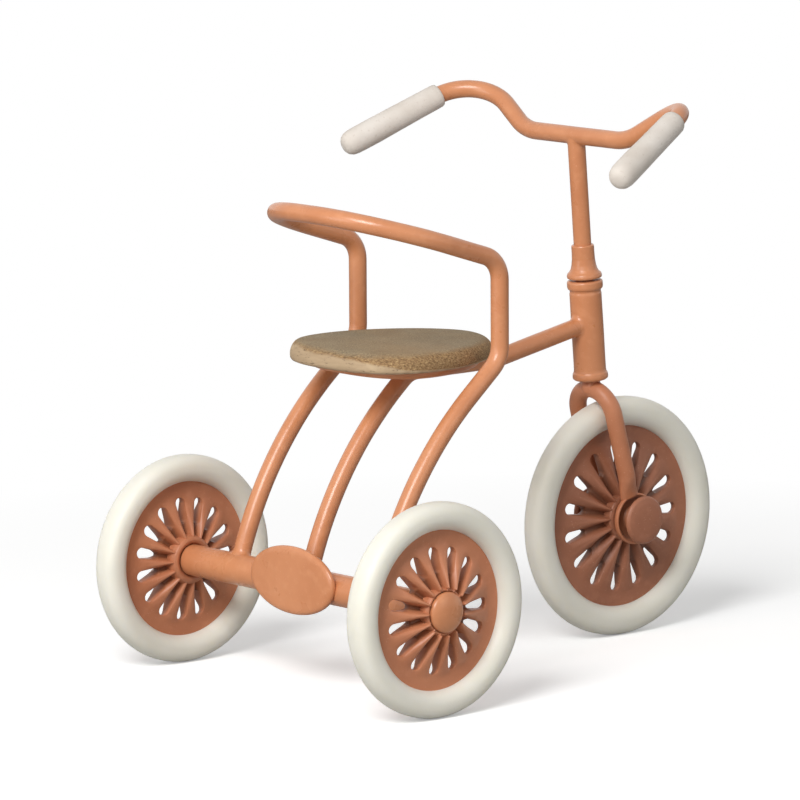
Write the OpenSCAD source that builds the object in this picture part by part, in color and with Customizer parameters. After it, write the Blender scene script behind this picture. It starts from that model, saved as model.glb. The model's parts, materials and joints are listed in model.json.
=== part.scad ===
// Doll-size tricycle: bent-rod frame, wooden seat, three cast wheels with soft tyres.
// X points forward, Y to the left, Z up. The origin lies on the ground, midway
// between the rear of the rear tyres and the front of the front tyre.

/* [Layout] */
// Distance from the rear axle to the front axle
wheelbase = 87.8; // [84:0.2:94]
// Distance between the middle planes of the two rear wheels
rear_track = 80.2; // [76:0.2:90]

/* [Wheels] */
// Outer radius of a rear tyre
rear_wheel_r = 22; // [20:0.2:24]
// Outer radius of the front tyre
front_wheel_r = 25.8; // [24:0.2:27]
// Radial height of a rear tyre outside the disc
rear_tyre_h = 5.7; // [4:0.1:6]
// Radial height of the front tyre outside the disc
front_tyre_h = 6.3; // [4.4:0.1:6.8]
// Width of a rear tyre
rear_tyre_w = 6.4; // [5.4:0.1:7]
// Width of the front tyre
front_tyre_w = 6; // [5.4:0.1:6.4]
// Thickness of the flat plate of a wheel
plate_t = 1.4; // [1:0.1:2]
// Depth that the plate's rim reaches into the tyre
tongue = 1.4; // [0.8:0.1:2]
// Number of slots in a wheel
slot_count = 15; // [9:1:17]
// Width of a rear wheel's slot at its outer end
rear_slot_w = 2.2; // [1.6:0.1:2.6]
// Width of the front wheel's slot at its outer end
front_slot_w = 2.7; // [1.8:0.1:3.2]
// Width of a slot at its inner end
slot_root_w = 1.2; // [0.4:0.1:1.8]
// Length of a slot
slot_len = 5; // [4:0.1:6]
// Flat band between the slots and the tyre
flat_band = 3.3; // [3:0.1:5]

/* [Hubs] */
// Radius of the raised hub
hub_r = 4.8; // [4.6:0.1:5.4]
// Width of a rear wheel's raised hub
rear_hub_w = 7.2; // [6.8:0.1:7.6]
// Width of the front wheel's raised hub
front_hub_w = 6.6; // [6:0.1:6.8]
// Radius of the boss that spaces the front hub from the fork
boss_r = 2.5; // [2.2:0.1:3.4]
// Depth of the dish in each face of a hub
dish_depth = 0.8; // [0.6:0.1:1.4]
// Radius of the dome cap, which sits in the dish of a rear hub
dome_r = 4; // [3.6:0.05:4.2]
// Radial gap between a dome cap and its dish
dome_gap = 0.3; // [0.2:0.05:0.35]
// Height of that dome
dome_h = 2.2; // [1.6:0.1:3]

/* [Axles] */
// Diameter of the axle rods
axle_d = 2.4; // [2:0.1:2.8]
// Diameter of the tube that holds the rear axle
axle_tube_d = 6.6; // [6:0.1:7.4]
// Radius of the button on each end of the front axle
button_r = 5.2; // [4.6:0.1:6]
// Thickness of that button at its edge
button_t = 1.3; // [1:0.1:1.8]
// Height of the button's slightly domed face
button_dome = 0.5; // [0.3:0.1:0.8]
// Length of the button's neck
neck_len = 1.9; // [1:0.1:2.4]
// Radius of the button's neck
neck_r = 2.4; // [2:0.1:3]
// Depth that an axle end reaches into a dome cap
dome_bite = 1.2; // [0.8:0.1:1.4]

/* [Frame rods] */
// Diameter of the bent steel rod
rod_d = 3.76; // [3.4:0.02:4]
// Half the distance between the two side rods
loop_half_w = 22.3; // [21.6:0.1:25]
// Distance of the uprights ahead of the rear axle
upright_x = 33.75; // [31:0.25:38]
// Height where a side rod turns into its upright
knee_z = 67.7; // [64:0.1:69]
// Height of the front corner of an arm
arm_z = 88.1; // [82:0.1:96]
// Rise of the arms towards the back, in degrees
arm_rise = 17.5; // [8:0.5:22]
// Place of the back of the loop, ahead of the rear axle
loop_back_x = 0.8; // [-4:0.1:6]
// Bend radius of the back of the loop
back_bend_r = 20.5; // [14:0.5:21]
// Bend radius of the corners of the arms
arm_bend_r = 5.5; // [4:0.5:8]
// Bend radius of the knees under the arms
knee_bend_r = 6; // [4:0.5:8]
// Sweep radius of the three legs
leg_sweep_r = 78; // [50:1:78]
// Lean of the legs at the axle tube, in degrees
foot_lean = 17.5; // [14:0.5:22]
// Lean of the legs under the seat, in degrees
leg_lean = 50; // [46:0.5:53]
// Place where the legs' line crosses the axle's height, ahead of the axle
foot_x = 0.4; // [-0.6:0.1:1.4]
// Bend radius of the spine under the seat
spine_bend_r = 6; // [4:0.5:7]
// Place where the spine starts to rise to the head tube
spine_rise_x = 52; // [48:0.5:56]
// Bend radius of that rise
spine_rise_r = 30; // [10:1:40]
// Height where the spine meets the steering axis
spine_top_z = 68.4; // [66:0.1:71]

/* [Seat] */
// Height of the seat's top face
seat_z = 70; // [69:0.1:73]
// Thickness of the wooden board
seat_t = 4; // [3:0.1:6]
// Distance from the rear axle to the back of the seat
seat_back_x = 4.8; // [4:0.2:8]
// Length of the seat from its back to its widest place
seat_back_len = 17.2; // [14:0.2:19]
// Length of the seat from its widest place to its nose
seat_nose_len = 26; // [22:0.2:28]
// Width of the seat
seat_w = 39.4; // [34:0.2:40]
// Roundness of the back outline: 2 is an ellipse, more is squarer
seat_back_power = 2.6; // [2:0.1:3]
// Roundness of the front outline: 2 is an ellipse, less is more pointed
seat_nose_power = 1.7; // [1.6:0.1:2.4]
// Rounding of the board's edges
seat_round = 1.3; // [0.6:0.1:1.4]
// Thickness of the metal pan
pan_t = 1.6; // [1.2:0.1:2]
// Distance of the pan's edge inside the board's edge, at the sides and the nose
pan_inset = 2.9; // [0.5:0.1:3.5]
// Distance of the pan's back edge inside the board's back
pan_back_inset = 5.4; // [2:0.2:7]
// Depth that the middle rod is let into the pan
pan_groove = 0.65; // [0.3:0.05:0.9]
// Shank diameter of the seat screws
screw_d = 1.6; // [1.2:0.1:2]
// Diameter of the seat screws' heads, which are let into the pan
screw_head_d = 3.2; // [2.6:0.1:3.8]
// Depth of the screws in the wood
screw_bite = 2.6; // [1.8:0.1:2.8]
// Spacing of the screws along the seat
screw_pitch_x = 14; // [11:0.5:17]
// Spacing of the screws across the seat
screw_pitch_y = 16; // [12:0.5:20]

/* [Steering head] */
// Lean of the steering axis, in degrees
steer_tilt = 4.5; // [2:0.5:8]
// Place of the lower end of the head tube, ahead of the rear axle
head_x = 79.8; // [78.8:0.1:81]
// Height of the lower end of the head tube
head_z = 56.2; // [55.6:0.1:58]
// Length of the head tube
head_len = 21.6; // [18:0.2:24]
// Diameter of the head tube
head_d = 6.9; // [6.4:0.1:7.6]
// Diameter of the beads at the ends of the head tube
bead_d = 7.5; // [7:0.1:8.2]
// Height of those beads
bead_h = 1.7; // [1.2:0.1:2.4]
// Diameter of the collar's sleeve
sleeve_d = 4.8; // [4.6:0.1:5.4]
// Diameter of the collar's flange
flange_d = 7.4; // [6.8:0.1:8]
// Height of the flange's edge
flange_h = 1.3; // [0.9:0.1:1.6]
// Height of the flare between the flange and the sleeve
flare_h = 2; // [1.4:0.1:2.6]
// Height of the collar
collar_h = 7.1; // [6:0.1:9]
// Gap between the head tube and the collar
collar_gap = 0.5; // [0.3:0.1:0.9]

/* [Handlebar] */
// Height of the bar above the lower end of the head tube, along the axis
bar_v = 52.7; // [46:0.1:56]
// Half the length of the straight middle of the bar, corner to corner
bar_mid = 15.8; // [13:0.1:18]
// Distance of the upper corners from the middle plane
bar_top_y = 34; // [31:0.1:36]
// Height of the upper corners over the middle of the bar
bar_top_v = 10.5; // [7:0.1:12]
// Distance of the upper corners ahead of the steering axis
bar_top_u = 4.5; // [2:0.1:6]
// Bend radius of the lower corners
bar_low_r = 12; // [8:0.5:14]
// Bend radius of the upper corners
bar_top_r = 10.5; // [8:0.5:12]
// Distance of the grip ends from the middle plane
grip_end_y = 42; // [38:0.1:42]
// Distance of the grip ends behind the steering axis
grip_end_u = 25.8; // [22:0.1:30]
// Drop of the grip ends under the middle of the bar
grip_end_v = 0.6; // [-2:0.1:3]
// Length of a grip up to the centre of its round end
grip_len = 22; // [18:0.2:23]
// Diameter of a grip at its round end
grip_d = 5.6; // [5:0.1:6]
// Diameter of a grip at its mouth
grip_mouth_d = 5.2; // [4.8:0.1:5.8]
// Depth of the bar inside a grip
grip_bite = 16; // [10:0.5:18]

/* [Fork] */
// Half the distance between the fork legs
fork_half_w = 5.5; // [5.4:0.1:6.2]
// Radius of the flat eyes
eye_r = 5.65; // [5:0.05:6]
// Thickness of the eyes
eye_t = 1.2; // [1:0.1:1.4]
// Distance of the eyes' middle plane inside the legs' middle line
eye_offset = 0.5; // [0.3:0.05:0.7]

/* [Badge] */
// Length of the oval badge
badge_len = 26.4; // [20:0.2:30]
// Height of the oval badge
badge_h = 14.2; // [10:0.2:16]
// Thickness of the badge
badge_t = 1.5; // [1.2:0.1:2]
// Height of the badge's middle over the axle
badge_lift = 1.1; // [0:0.1:2]

/* [Clearances] */
// Radial clearance of the parts that turn
running_gap = 0.06; // [0.03:0.01:0.1]
// Play along an axle or the steering axis
side_play = 0.12; // [0.08:0.01:0.2]
// Radial gap of a glued or pressed joint
joint_gap = 0.02; // [0.01:0.01:0.04]
// Radial gap of the glue between the bar and a grip
glue_gap = 0.1; // [0.08:0.01:0.2]

/* [Hidden] */
rod_r = rod_d / 2;
axle_r = axle_d / 2;
axle_tube_r = axle_tube_d / 2;
rear_axle_z = rear_wheel_r;
front_axle_z = front_wheel_r;
rear_wheel_y = rear_track / 2;
middle_x = (wheelbase + front_wheel_r - rear_wheel_r) / 2;
// The axle tube ends inside the dish of each rear hub
axle_tube_end = rear_wheel_y - rear_hub_w / 2 + dish_depth - side_play;
rear_cap_y = rear_wheel_y + rear_hub_w / 2 - dish_depth + side_play;
rear_axle_end = rear_cap_y + dome_bite;
// The front hub runs between the two eyes
eye_in = fork_half_w - eye_offset - eye_t / 2;
eye_out = eye_in + eye_t;
button_y = eye_out + neck_len;
front_axle_end = button_y + button_t - 0.4;
hub_chamfer = 0.1;
dish_r = dome_r + dome_gap;
bend_swell = 0.02;
rear_disc_r = rear_wheel_r - rear_tyre_h;
front_disc_r = front_wheel_r - front_tyre_h;
seat_bottom_z = seat_z - seat_t;
pan_bottom_z = seat_bottom_z - pan_t;
spine_z = pan_bottom_z + pan_groove - rod_r;
seat_wide_x = seat_back_x + seat_back_len;
screw_head_h = 0.9;
fork_gap = 0.2;
step_r = max(eye_r, button_r + fork_gap);
eye_lap = 0.7;
crown_v = -(rod_r + fork_gap);
// Place of the front axle in the frame of the steering axis
axle_dx = wheelbase - head_x;
axle_dz = front_axle_z - head_z;
axle_u = axle_dx * cos(steer_tilt) + axle_dz * sin(steer_tilt);
axle_v = -axle_dx * sin(steer_tilt) + axle_dz * cos(steer_tilt);
// The rods of the steering column meet inside the collar
collar_v = head_len + collar_gap;
column_v = collar_v + collar_h / 2;
grip_corner = [bar_top_u, bar_top_y, bar_v + bar_top_v];
grip_end = [-grip_end_u, grip_end_y, bar_v - grip_end_v];
grip_axis = unit(grip_end - grip_corner);
grip_mouth = grip_end - grip_len * grip_axis;
bar_end = grip_mouth + grip_bite * grip_axis;
arm_back_z = arm_z + (upright_x - loop_back_x) * tan(arm_rise);
section_fn = 40;
sweep_fn = 180;
fine_fn = 96;
outline_steps = 96;
slot_steps = 12;
slope_foot = 0.4;
paint = "#cf8260";
rubber_white = "#e9e4d8";
grip_white = "#ddd5ca";
wood = "#b39a7c";
steel = "#b9bcc0";

// ---- Geometry helpers ----

function unit(v) = v / norm(v);
function side_of(v) = unit(cross(abs(v.y) < 0.9 ? [0, 1, 0] : [1, 0, 0], v));
function turn(a, b, c) = acos(unit(b - a) * unit(c - b));
function lead(a, b, c, r) = r * tan(turn(a, b, c) / 2);
function basis(x, y, z, o) = [
    [x.x, y.x, z.x, o.x],
    [x.y, y.y, z.y, o.y],
    [x.z, y.z, z.z, o.z],
    [0, 0, 0, 1]
];
// Length that the bend at point i takes off each of its two legs
function lead_at(path, bends, i) =
    i == 0 || i == len(path) - 1 ? 0 : lead(path[i - 1], path[i], path[i + 1], bends[i - 1]);

// Stands its children on point p with their Z axis along direction v
module along(p, v) {
    x = side_of(v);
    multmatrix(basis(x, cross(v, x), v, p)) children();
}

module straight(p, q, d) {
    along(p, unit(q - p)) cylinder(h = norm(q - p), d = d, $fn = section_fn);
}

module elbow(a, b, c, r, d) {
    into = unit(b - a);
    hinge = unit(cross(into, unit(c - b)));
    inward = cross(hinge, into);
    start = b - into * lead(a, b, c, r);
    multmatrix(basis(-inward, into, hinge, start + r * inward))
        rotate_extrude(angle = turn(a, b, c), $fn = sweep_fn)
            translate([r, 0]) circle(d = d, $fn = section_fn);
}

// A rod along a path of corner points, with a bend radius at each inner corner.
// Each end of a bend lies inside a ball that is a hair thicker than the rod.
module bent_rod(path, bends, d) {
    union() for (i = [0 : len(path) - 2]) {
        ahead = unit(path[i + 1] - path[i]);
        from = path[i] + ahead * lead_at(path, bends, i);
        to = path[i + 1] - ahead * lead_at(path, bends, i + 1);
        straight(from, to, d);
        if (i > 0) translate(from) sphere(d = d + 2 * bend_swell, $fn = fine_fn);
        if (i < len(path) - 2) translate(to) sphere(d = d + 2 * bend_swell, $fn = fine_fn);
    }
    for (i = [1 : len(path) - 2])
        elbow(path[i - 1], path[i], path[i + 1], bends[i - 1], d);
}

// Places its children in the frame whose origin is the rear axle's foot on the ground
module layout() {
    translate([-middle_x, 0, 0]) children();
}

// Places its children in the frame of the steering axis
module steering_frame() {
    layout() translate([head_x, 0, head_z]) rotate([0, -steer_tilt, 0]) children();
}

// Turns a shape made about Z into one about the wheel axis, at height z
module on_axle(x, y, z) {
    layout() translate([x, y, z]) rotate([-90, 0, 0]) children();
}

// ---- Frame ----

// Corner points of a leg in the XZ plane: axle line, sweep corner, upper end
leg_dir = [sin(leg_lean), 0, cos(leg_lean)];
foot_dir = [sin(foot_lean), 0, cos(foot_lean)];
knee = [upright_x, 0, knee_z];
foot = [foot_x, 0, rear_axle_z];
sweep_reach = cross2(knee - foot, leg_dir) / cross2(foot_dir, leg_dir);
sweep_corner = foot + foot_dir * sweep_reach;
function cross2(a, b) = a.x * b.z - a.z * b.x;
function at_side(p, s) = [p.x, s * loop_half_w, p.z];

module rear_axle_tube() {
    color(paint) difference() {
        on_axle(0, 0, rear_axle_z)
            cylinder(h = 2 * axle_tube_end, r = axle_tube_r, center = true, $fn = fine_fn);
        on_axle(0, 0, rear_axle_z)
            cylinder(h = 2 * axle_tube_end + 1, r = axle_r + joint_gap, center = true, $fn = fine_fn);
    }
}

module axle_tube_cope() {
    translate([0, 0, rear_axle_z]) rotate([-90, 0, 0])
        cylinder(h = 2 * axle_tube_end, r = axle_tube_r, center = true, $fn = fine_fn);
}

module side_loop() {
    path = [
        at_side(foot, 1), at_side(sweep_corner, 1), at_side(knee, 1),
        [upright_x, loop_half_w, arm_z], [loop_back_x, loop_half_w, arm_back_z],
        [loop_back_x, -loop_half_w, arm_back_z], [upright_x, -loop_half_w, arm_z],
        at_side(knee, -1), at_side(sweep_corner, -1), at_side(foot, -1)
    ];
    bends = [
        leg_sweep_r, knee_bend_r, arm_bend_r, back_bend_r,
        back_bend_r, arm_bend_r, knee_bend_r, leg_sweep_r
    ];
    color(paint) layout() difference() {
        bent_rod(path, bends, rod_d);
        axle_tube_cope();
    }
}

// Corner where the spine turns level under the seat
spine_corner = knee - leg_dir * ((knee_z - spine_z) / cos(leg_lean));
spine_rise = [spine_rise_x, 0, spine_z];
spine_top = [head_x - (spine_top_z - head_z) * tan(steer_tilt), 0, spine_top_z];

module spine_rod(d) {
    bent_rod([foot, sweep_corner, spine_corner, spine_rise, spine_top],
             [leg_sweep_r, spine_bend_r, spine_rise_r], d);
}

module centre_spine() {
    color(paint) difference() {
        layout() spine_rod(rod_d);
        layout() axle_tube_cope();
        steering_frame() cylinder(h = head_len, d = head_d, $fn = fine_fn);
    }
}

module oval(len, h) {
    polygon([for (i = [0 : outline_steps - 1])
        let (a = 360 * i / outline_steps) [len / 2 * cos(a), h / 2 * sin(a)]]);
}

module badge_plate() {
    front = axle_tube_r + 1.1;
    color(paint) layout() difference() {
        translate([-front, 0, rear_axle_z + badge_lift]) rotate([90, 0, 90])
            linear_extrude(badge_t) oval(badge_len, badge_h);
        axle_tube_cope();
    }
}

module head_tube() {
    bead_r = bead_h / 2;
    color(paint) steering_frame() difference() {
        union() {
            translate([0, 0, bead_r]) cylinder(h = head_len - bead_h, d = head_d, $fn = fine_fn);
            for (v = [bead_r, head_len - bead_r])
                translate([0, 0, v]) {
                    rotate_extrude($fn = fine_fn)
                        translate([bead_d / 2 - bead_r, 0]) circle(r = bead_r, $fn = section_fn);
                    cylinder(h = bead_h, d = bead_d - bead_h, center = true, $fn = fine_fn);
                }
        }
        translate([0, 0, -1])
            cylinder(h = head_len + 2, r = rod_r + running_gap, $fn = fine_fn);
    }
}

// ---- Seat ----

// Egg-shaped outline, moved inwards by inset, and by back_inset at its back
function egg_point(a, inset, back_inset) = let (
    c = cos(a),
    s = sin(a),
    power = c > 0 ? seat_nose_power : seat_back_power,
    reach = c > 0 ? seat_nose_len - inset : back_inset - seat_back_len
) [reach * pow(abs(c), 2 / power), (seat_w / 2 - inset) * sign(s) * pow(abs(s), 2 / power)];

module egg(inset, back_inset) {
    polygon([for (i = [0 : outline_steps - 1])
        egg_point(360 * i / outline_steps, inset, back_inset)]);
}

// Height of the rounded edge where it is a given share of its depth inside the outline
function seat_curve(share) = 1 - sqrt(1 - (1 - share) * (1 - share));

module at_seat(z) {
    layout() translate([seat_wide_x, 0, z]) children();
}

module at_seat_screws() {
    for (sx = [-1, 1], sy = [-1, 1])
        translate([sx * screw_pitch_x / 2, sy * screw_pitch_y / 2, 0]) children();
}

module wooden_seat() {
    color(wood) difference() {
        at_seat(seat_bottom_z) hull() {
            for (share = [1, 0.3, 0]) {
                inset = seat_round * share;
                rise = seat_round * seat_curve(share);
                translate([0, 0, rise]) linear_extrude(seat_t - 2 * rise) egg(inset, inset);
            }
        }
        at_seat(seat_bottom_z - 1) at_seat_screws()
            cylinder(h = 1 + screw_bite + 0.3, r = screw_d / 2 + joint_gap, $fn = section_fn);
    }
}

module seat_pan() {
    color(paint) difference() {
        at_seat(pan_bottom_z) linear_extrude(pan_t) egg(pan_inset, pan_back_inset);
        layout() spine_rod(rod_d + 4 * joint_gap);
        at_seat(pan_bottom_z - 1) at_seat_screws() {
            cylinder(h = pan_t + 2, r = screw_d / 2 + joint_gap, $fn = section_fn);
            cylinder(h = 1 + screw_head_h, r = screw_head_d / 2 + joint_gap, $fn = section_fn);
        }
    }
}

module seat_screws() {
    color(steel) at_seat(pan_bottom_z) at_seat_screws() {
        cylinder(h = pan_t + screw_bite, d = screw_d, $fn = section_fn);
        cylinder(h = screw_head_h, d = screw_head_d, $fn = section_fn);
    }
}

// ---- Wheels ----

function arc(x, r, from, to, steps) = [
    for (i = [0 : steps]) let (a = from + (to - from) * i / steps) [x + r * cos(a), r * sin(a)]
];

// Slot of a wheel: a round outer end that narrows towards the hub
module slot(root_x, end_x, w) {
    r = w / 2;
    reach = end_x - r;
    root = slot_root_w / 2;
    open = 90 + asin((r - root) / (reach - root_x));
    polygon(concat(arc(reach, r, -open, open, slot_steps),
                   arc(root_x, root, open, 360 - open, slot_steps / 2)));
}

// One face of a wheel disc's section, from the bore out; boss is the boss's end or zero
function disc_face(disc_r, face, boss) = concat(
    boss > 0 ? [[axle_r + running_gap, boss], [boss_r, boss], [boss_r, face - dish_depth]]
             : [[axle_r + running_gap, face - dish_depth]],
    [
        [dish_r, face - dish_depth], [dish_r + hub_chamfer, face], [hub_r - hub_chamfer, face],
        [hub_r, face - hub_chamfer], [disc_r - flat_band + slope_foot, plate_t / 2],
        [disc_r + tongue, plate_t / 2]
    ]
);
function reversed(v) = [for (i = [len(v) - 1 : -1 : 0]) v[i]];
function other_face(v) = [for (p = v) [p.x, -p.y]];

module wheel_disc(disc_r, slot_w, hub_w, boss) {
    face = disc_face(disc_r, hub_w / 2, boss);
    slot_end = disc_r - flat_band;
    color(paint) difference() {
        rotate_extrude($fn = fine_fn) polygon(concat(other_face(face), reversed(face)));
        for (i = [0 : slot_count - 1])
            rotate(360 * i / slot_count)
                translate([0, 0, -hub_w / 2 - 1]) linear_extrude(hub_w + 2)
                    slot(slot_end - slot_len + slot_root_w / 2, slot_end, slot_w);
    }
}

// Tyre section: a boxy round ring with a groove for the plate
module tyre(outer_r, h, w) {
    inner_r = outer_r - h;
    corner = min(w / 2, h / 2) - 0.2;
    color(rubber_white) rotate_extrude($fn = fine_fn) difference() {
        union() {
            for (x = [inner_r + corner, outer_r - corner], y = [w / 2 - corner, corner - w / 2])
                translate([x, y]) circle(r = corner, $fn = section_fn);
            translate([inner_r, corner - w / 2]) square([h, w - 2 * corner]);
            translate([inner_r + corner, -w / 2]) square([h - 2 * corner, w]);
        }
        translate([inner_r - 1, -plate_t / 2 - joint_gap])
            square([1 + tongue + joint_gap, plate_t + 2 * joint_gap]);
    }
}

module rear_wheel(s) {
    on_axle(0, s * rear_wheel_y, rear_axle_z)
        wheel_disc(rear_disc_r, rear_slot_w, rear_hub_w, 0);
}

module rear_tyre(s) {
    on_axle(0, s * rear_wheel_y, rear_axle_z) tyre(rear_wheel_r, rear_tyre_h, rear_tyre_w);
}

module rear_left_wheel() { rear_wheel(1); }
module rear_right_wheel() { rear_wheel(-1); }
module rear_left_tyre() { rear_tyre(1); }
module rear_right_tyre() { rear_tyre(-1); }

module front_wheel() {
    on_axle(wheelbase, 0, front_axle_z)
        wheel_disc(front_disc_r, front_slot_w, front_hub_w, eye_in - side_play);
}

module front_tyre() {
    on_axle(wheelbase, 0, front_axle_z) tyre(front_wheel_r, front_tyre_h, front_tyre_w);
}

module rear_axle() {
    color(steel) on_axle(0, 0, rear_axle_z)
        cylinder(h = 2 * rear_axle_end, r = axle_r, center = true, $fn = fine_fn);
}

// Dome cap on the outer face of a rear hub, made about Z with its base at zero
module dome_cap() {
    ball_r = (dome_r * dome_r + dome_h * dome_h) / (2 * dome_h);
    color(paint) rotate_extrude($fn = fine_fn) difference() {
        intersection() {
            translate([0, dome_h - ball_r]) circle(r = ball_r, $fn = fine_fn);
            square([dome_r + 1, dome_h + 1]);
        }
        translate([-1, -1]) square([1 + axle_r + joint_gap, 1 + dome_bite + joint_gap]);
    }
}

module rear_cap(s) {
    on_axle(0, s * rear_cap_y, rear_axle_z) rotate([s > 0 ? 0 : 180, 0, 0]) dome_cap();
}

module rear_left_cap() { rear_cap(1); }
module rear_right_cap() { rear_cap(-1); }

// ---- Steering ----

module steerer_rod() {
    color(paint) steering_frame() difference() {
        translate([0, 0, crown_v]) cylinder(h = column_v - crown_v, r = rod_r, $fn = fine_fn);
        crown_cope();
    }
}

module crown_cope() {
    translate([0, 0, crown_v]) rotate([90, 0, 0])
        cylinder(h = 2 * rod_d, d = rod_d, center = true, $fn = section_fn);
}

module steering_collar() {
    color(paint) steering_frame() translate([0, 0, collar_v]) difference() {
        union() {
            translate([0, 0, flange_h / 2]) rotate_extrude($fn = fine_fn)
                translate([flange_d / 2 - flange_h / 2, 0]) circle(d = flange_h, $fn = section_fn);
            cylinder(h = flange_h, d = flange_d - flange_h, $fn = fine_fn);
            translate([0, 0, flange_h])
                cylinder(h = flare_h, d1 = flange_d - flange_h, d2 = sleeve_d, $fn = fine_fn);
            cylinder(h = collar_h, d = sleeve_d, $fn = fine_fn);
        }
        translate([0, 0, -1]) cylinder(h = collar_h + 2, r = rod_r + joint_gap, $fn = fine_fn);
    }
}

module bar_middle() {
    translate([0, 0, bar_v]) rotate([90, 0, 0])
        cylinder(h = 2 * rod_d, d = rod_d, center = true, $fn = section_fn);
}

module handlebar_stem() {
    color(paint) steering_frame() difference() {
        translate([0, 0, column_v]) cylinder(h = bar_v - column_v, r = rod_r, $fn = fine_fn);
        bar_middle();
    }
}

function flip_y(p) = [p.x, -p.y, p.z];

module handlebar() {
    low = [0, bar_mid, bar_v];
    color(paint) steering_frame()
        bent_rod([bar_end, grip_corner, low, flip_y(low), flip_y(grip_corner), flip_y(bar_end)],
                 [bar_top_r, bar_low_r, bar_low_r, bar_top_r], rod_d);
}

// Grip made along Z: its mouth at zero, its round end at the top
module grip() {
    color(grip_white) difference() {
        union() {
            cylinder(h = grip_len, d1 = grip_mouth_d, d2 = grip_d, $fn = fine_fn);
            translate([0, 0, grip_len]) sphere(d = grip_d, $fn = fine_fn);
        }
        translate([0, 0, -1])
            cylinder(h = 1 + grip_bite + glue_gap, r = rod_r + glue_gap, $fn = fine_fn);
    }
}

module left_grip() {
    steering_frame() along(grip_mouth, grip_axis) grip();
}

module right_grip() {
    steering_frame() along(flip_y(grip_mouth), flip_y(grip_axis)) grip();
}

module fork() {
    axle = [axle_u, 0, axle_v];
    crown = [0, 0, crown_v];
    down = unit(axle - crown);
    arch = crown + down * fork_half_w;
    leg_end = axle - down * (eye_r - eye_lap);
    color(paint) steering_frame() difference() {
        union() {
            multmatrix(basis([0, 1, 0], -down, cross([0, 1, 0], -down), arch))
                rotate_extrude(angle = 180, $fn = sweep_fn)
                    translate([fork_half_w, 0]) circle(d = rod_d, $fn = section_fn);
            for (s = [-1, 1]) union() {
                straight(arch + [0, s * fork_half_w, 0], leg_end + [0, s * fork_half_w, 0], rod_d);
                translate(arch + [0, s * fork_half_w, 0])
                    sphere(d = rod_d + 2 * bend_swell, $fn = fine_fn);
            }
            for (s = [-1, 1])
                translate(axle + [0, s * (eye_in + eye_t / 2), 0]) rotate([90, 0, 0])
                    cylinder(h = eye_t, r = eye_r, center = true, $fn = fine_fn);
        }
        translate(axle) rotate([90, 0, 0])
            cylinder(h = 4 * fork_half_w, r = axle_r + joint_gap, center = true, $fn = fine_fn);
        // Each leg ends in a step outside its eye, clear of the button
        for (s = [-1, 1])
            translate(axle + [0, s * (eye_out + rod_d), 0]) rotate([90, 0, 0])
                cylinder(h = 2 * rod_d, r = step_r, center = true, $fn = fine_fn);
    }
}

module front_axle() {
    color(steel) on_axle(wheelbase, 0, front_axle_z)
        cylinder(h = 2 * front_axle_end, r = axle_r, center = true, $fn = fine_fn);
}

// Button made about Z: its neck starts at zero, its face looks up
module button() {
    face_r = (button_r * button_r + button_dome * button_dome) / (2 * button_dome);
    edge = neck_len + button_t;
    color(paint) rotate_extrude($fn = fine_fn) difference() {
        union() {
            square([neck_r, edge]);
            translate([0, neck_len]) square([button_r, button_t]);
            intersection() {
                translate([0, edge + button_dome - face_r]) circle(r = face_r, $fn = 4 * fine_fn);
                translate([0, edge]) square([button_r, button_dome + 1]);
            }
        }
        translate([-1, -1]) square([1 + axle_r + joint_gap, 1 + front_axle_end - eye_out + joint_gap]);
    }
}

module front_button(s) {
    on_axle(wheelbase, s * eye_out, front_axle_z) rotate([s > 0 ? 0 : 180, 0, 0]) button();
}

module front_left_button() { front_button(1); }
module front_right_button() { front_button(-1); }

rear_axle_tube();
side_loop();
centre_spine();
badge_plate();
seat_pan();
wooden_seat();
seat_screws();
head_tube();
rear_axle();
rear_left_cap();
rear_right_cap();
rear_left_wheel();
rear_left_tyre();
rear_right_wheel();
rear_right_tyre();
steerer_rod();
steering_collar();
handlebar_stem();
handlebar();
left_grip();
right_grip();
fork();
front_axle();
front_left_button();
front_right_button();
front_wheel();
front_tyre();
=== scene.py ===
"""Doll-size tricycle: enamelled bent-rod frame, wooden seat, slotted wheels with soft tyres."""
from __future__ import annotations

import sys

import json
import logging
import math
from collections.abc import Sequence
from dataclasses import dataclass, field
from enum import Enum

import bmesh
import bpy
from mathutils import Matrix, Vector, noise


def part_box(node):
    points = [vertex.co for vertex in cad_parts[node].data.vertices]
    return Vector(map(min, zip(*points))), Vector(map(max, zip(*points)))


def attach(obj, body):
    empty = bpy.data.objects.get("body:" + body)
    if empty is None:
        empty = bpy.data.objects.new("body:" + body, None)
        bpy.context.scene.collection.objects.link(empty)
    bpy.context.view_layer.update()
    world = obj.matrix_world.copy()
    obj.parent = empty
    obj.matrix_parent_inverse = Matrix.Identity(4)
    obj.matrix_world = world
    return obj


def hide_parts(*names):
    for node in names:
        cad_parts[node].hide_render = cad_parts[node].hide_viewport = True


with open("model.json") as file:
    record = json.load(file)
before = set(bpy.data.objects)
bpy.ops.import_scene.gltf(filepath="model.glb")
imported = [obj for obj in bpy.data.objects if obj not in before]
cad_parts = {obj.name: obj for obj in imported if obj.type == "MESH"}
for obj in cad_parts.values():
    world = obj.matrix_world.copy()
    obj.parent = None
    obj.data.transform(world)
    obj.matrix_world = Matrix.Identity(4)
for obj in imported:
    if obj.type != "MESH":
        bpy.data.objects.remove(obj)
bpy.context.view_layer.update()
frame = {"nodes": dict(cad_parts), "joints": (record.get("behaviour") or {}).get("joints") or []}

LOG = logging.getLogger("tricycle")
MM = 0.001
TAU = math.tau
SAME = 1e-7        # points closer than this, in metres, are one
SEAM = 4e-6        # the same for the seams between a disc's sectors
ROUNDING = 1e-6    # the error that a computed coordinate may have
PAINTED_SHADING = "depth"    # the vertex attribute of painted shade in valleys and painted highlight on crests

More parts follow.
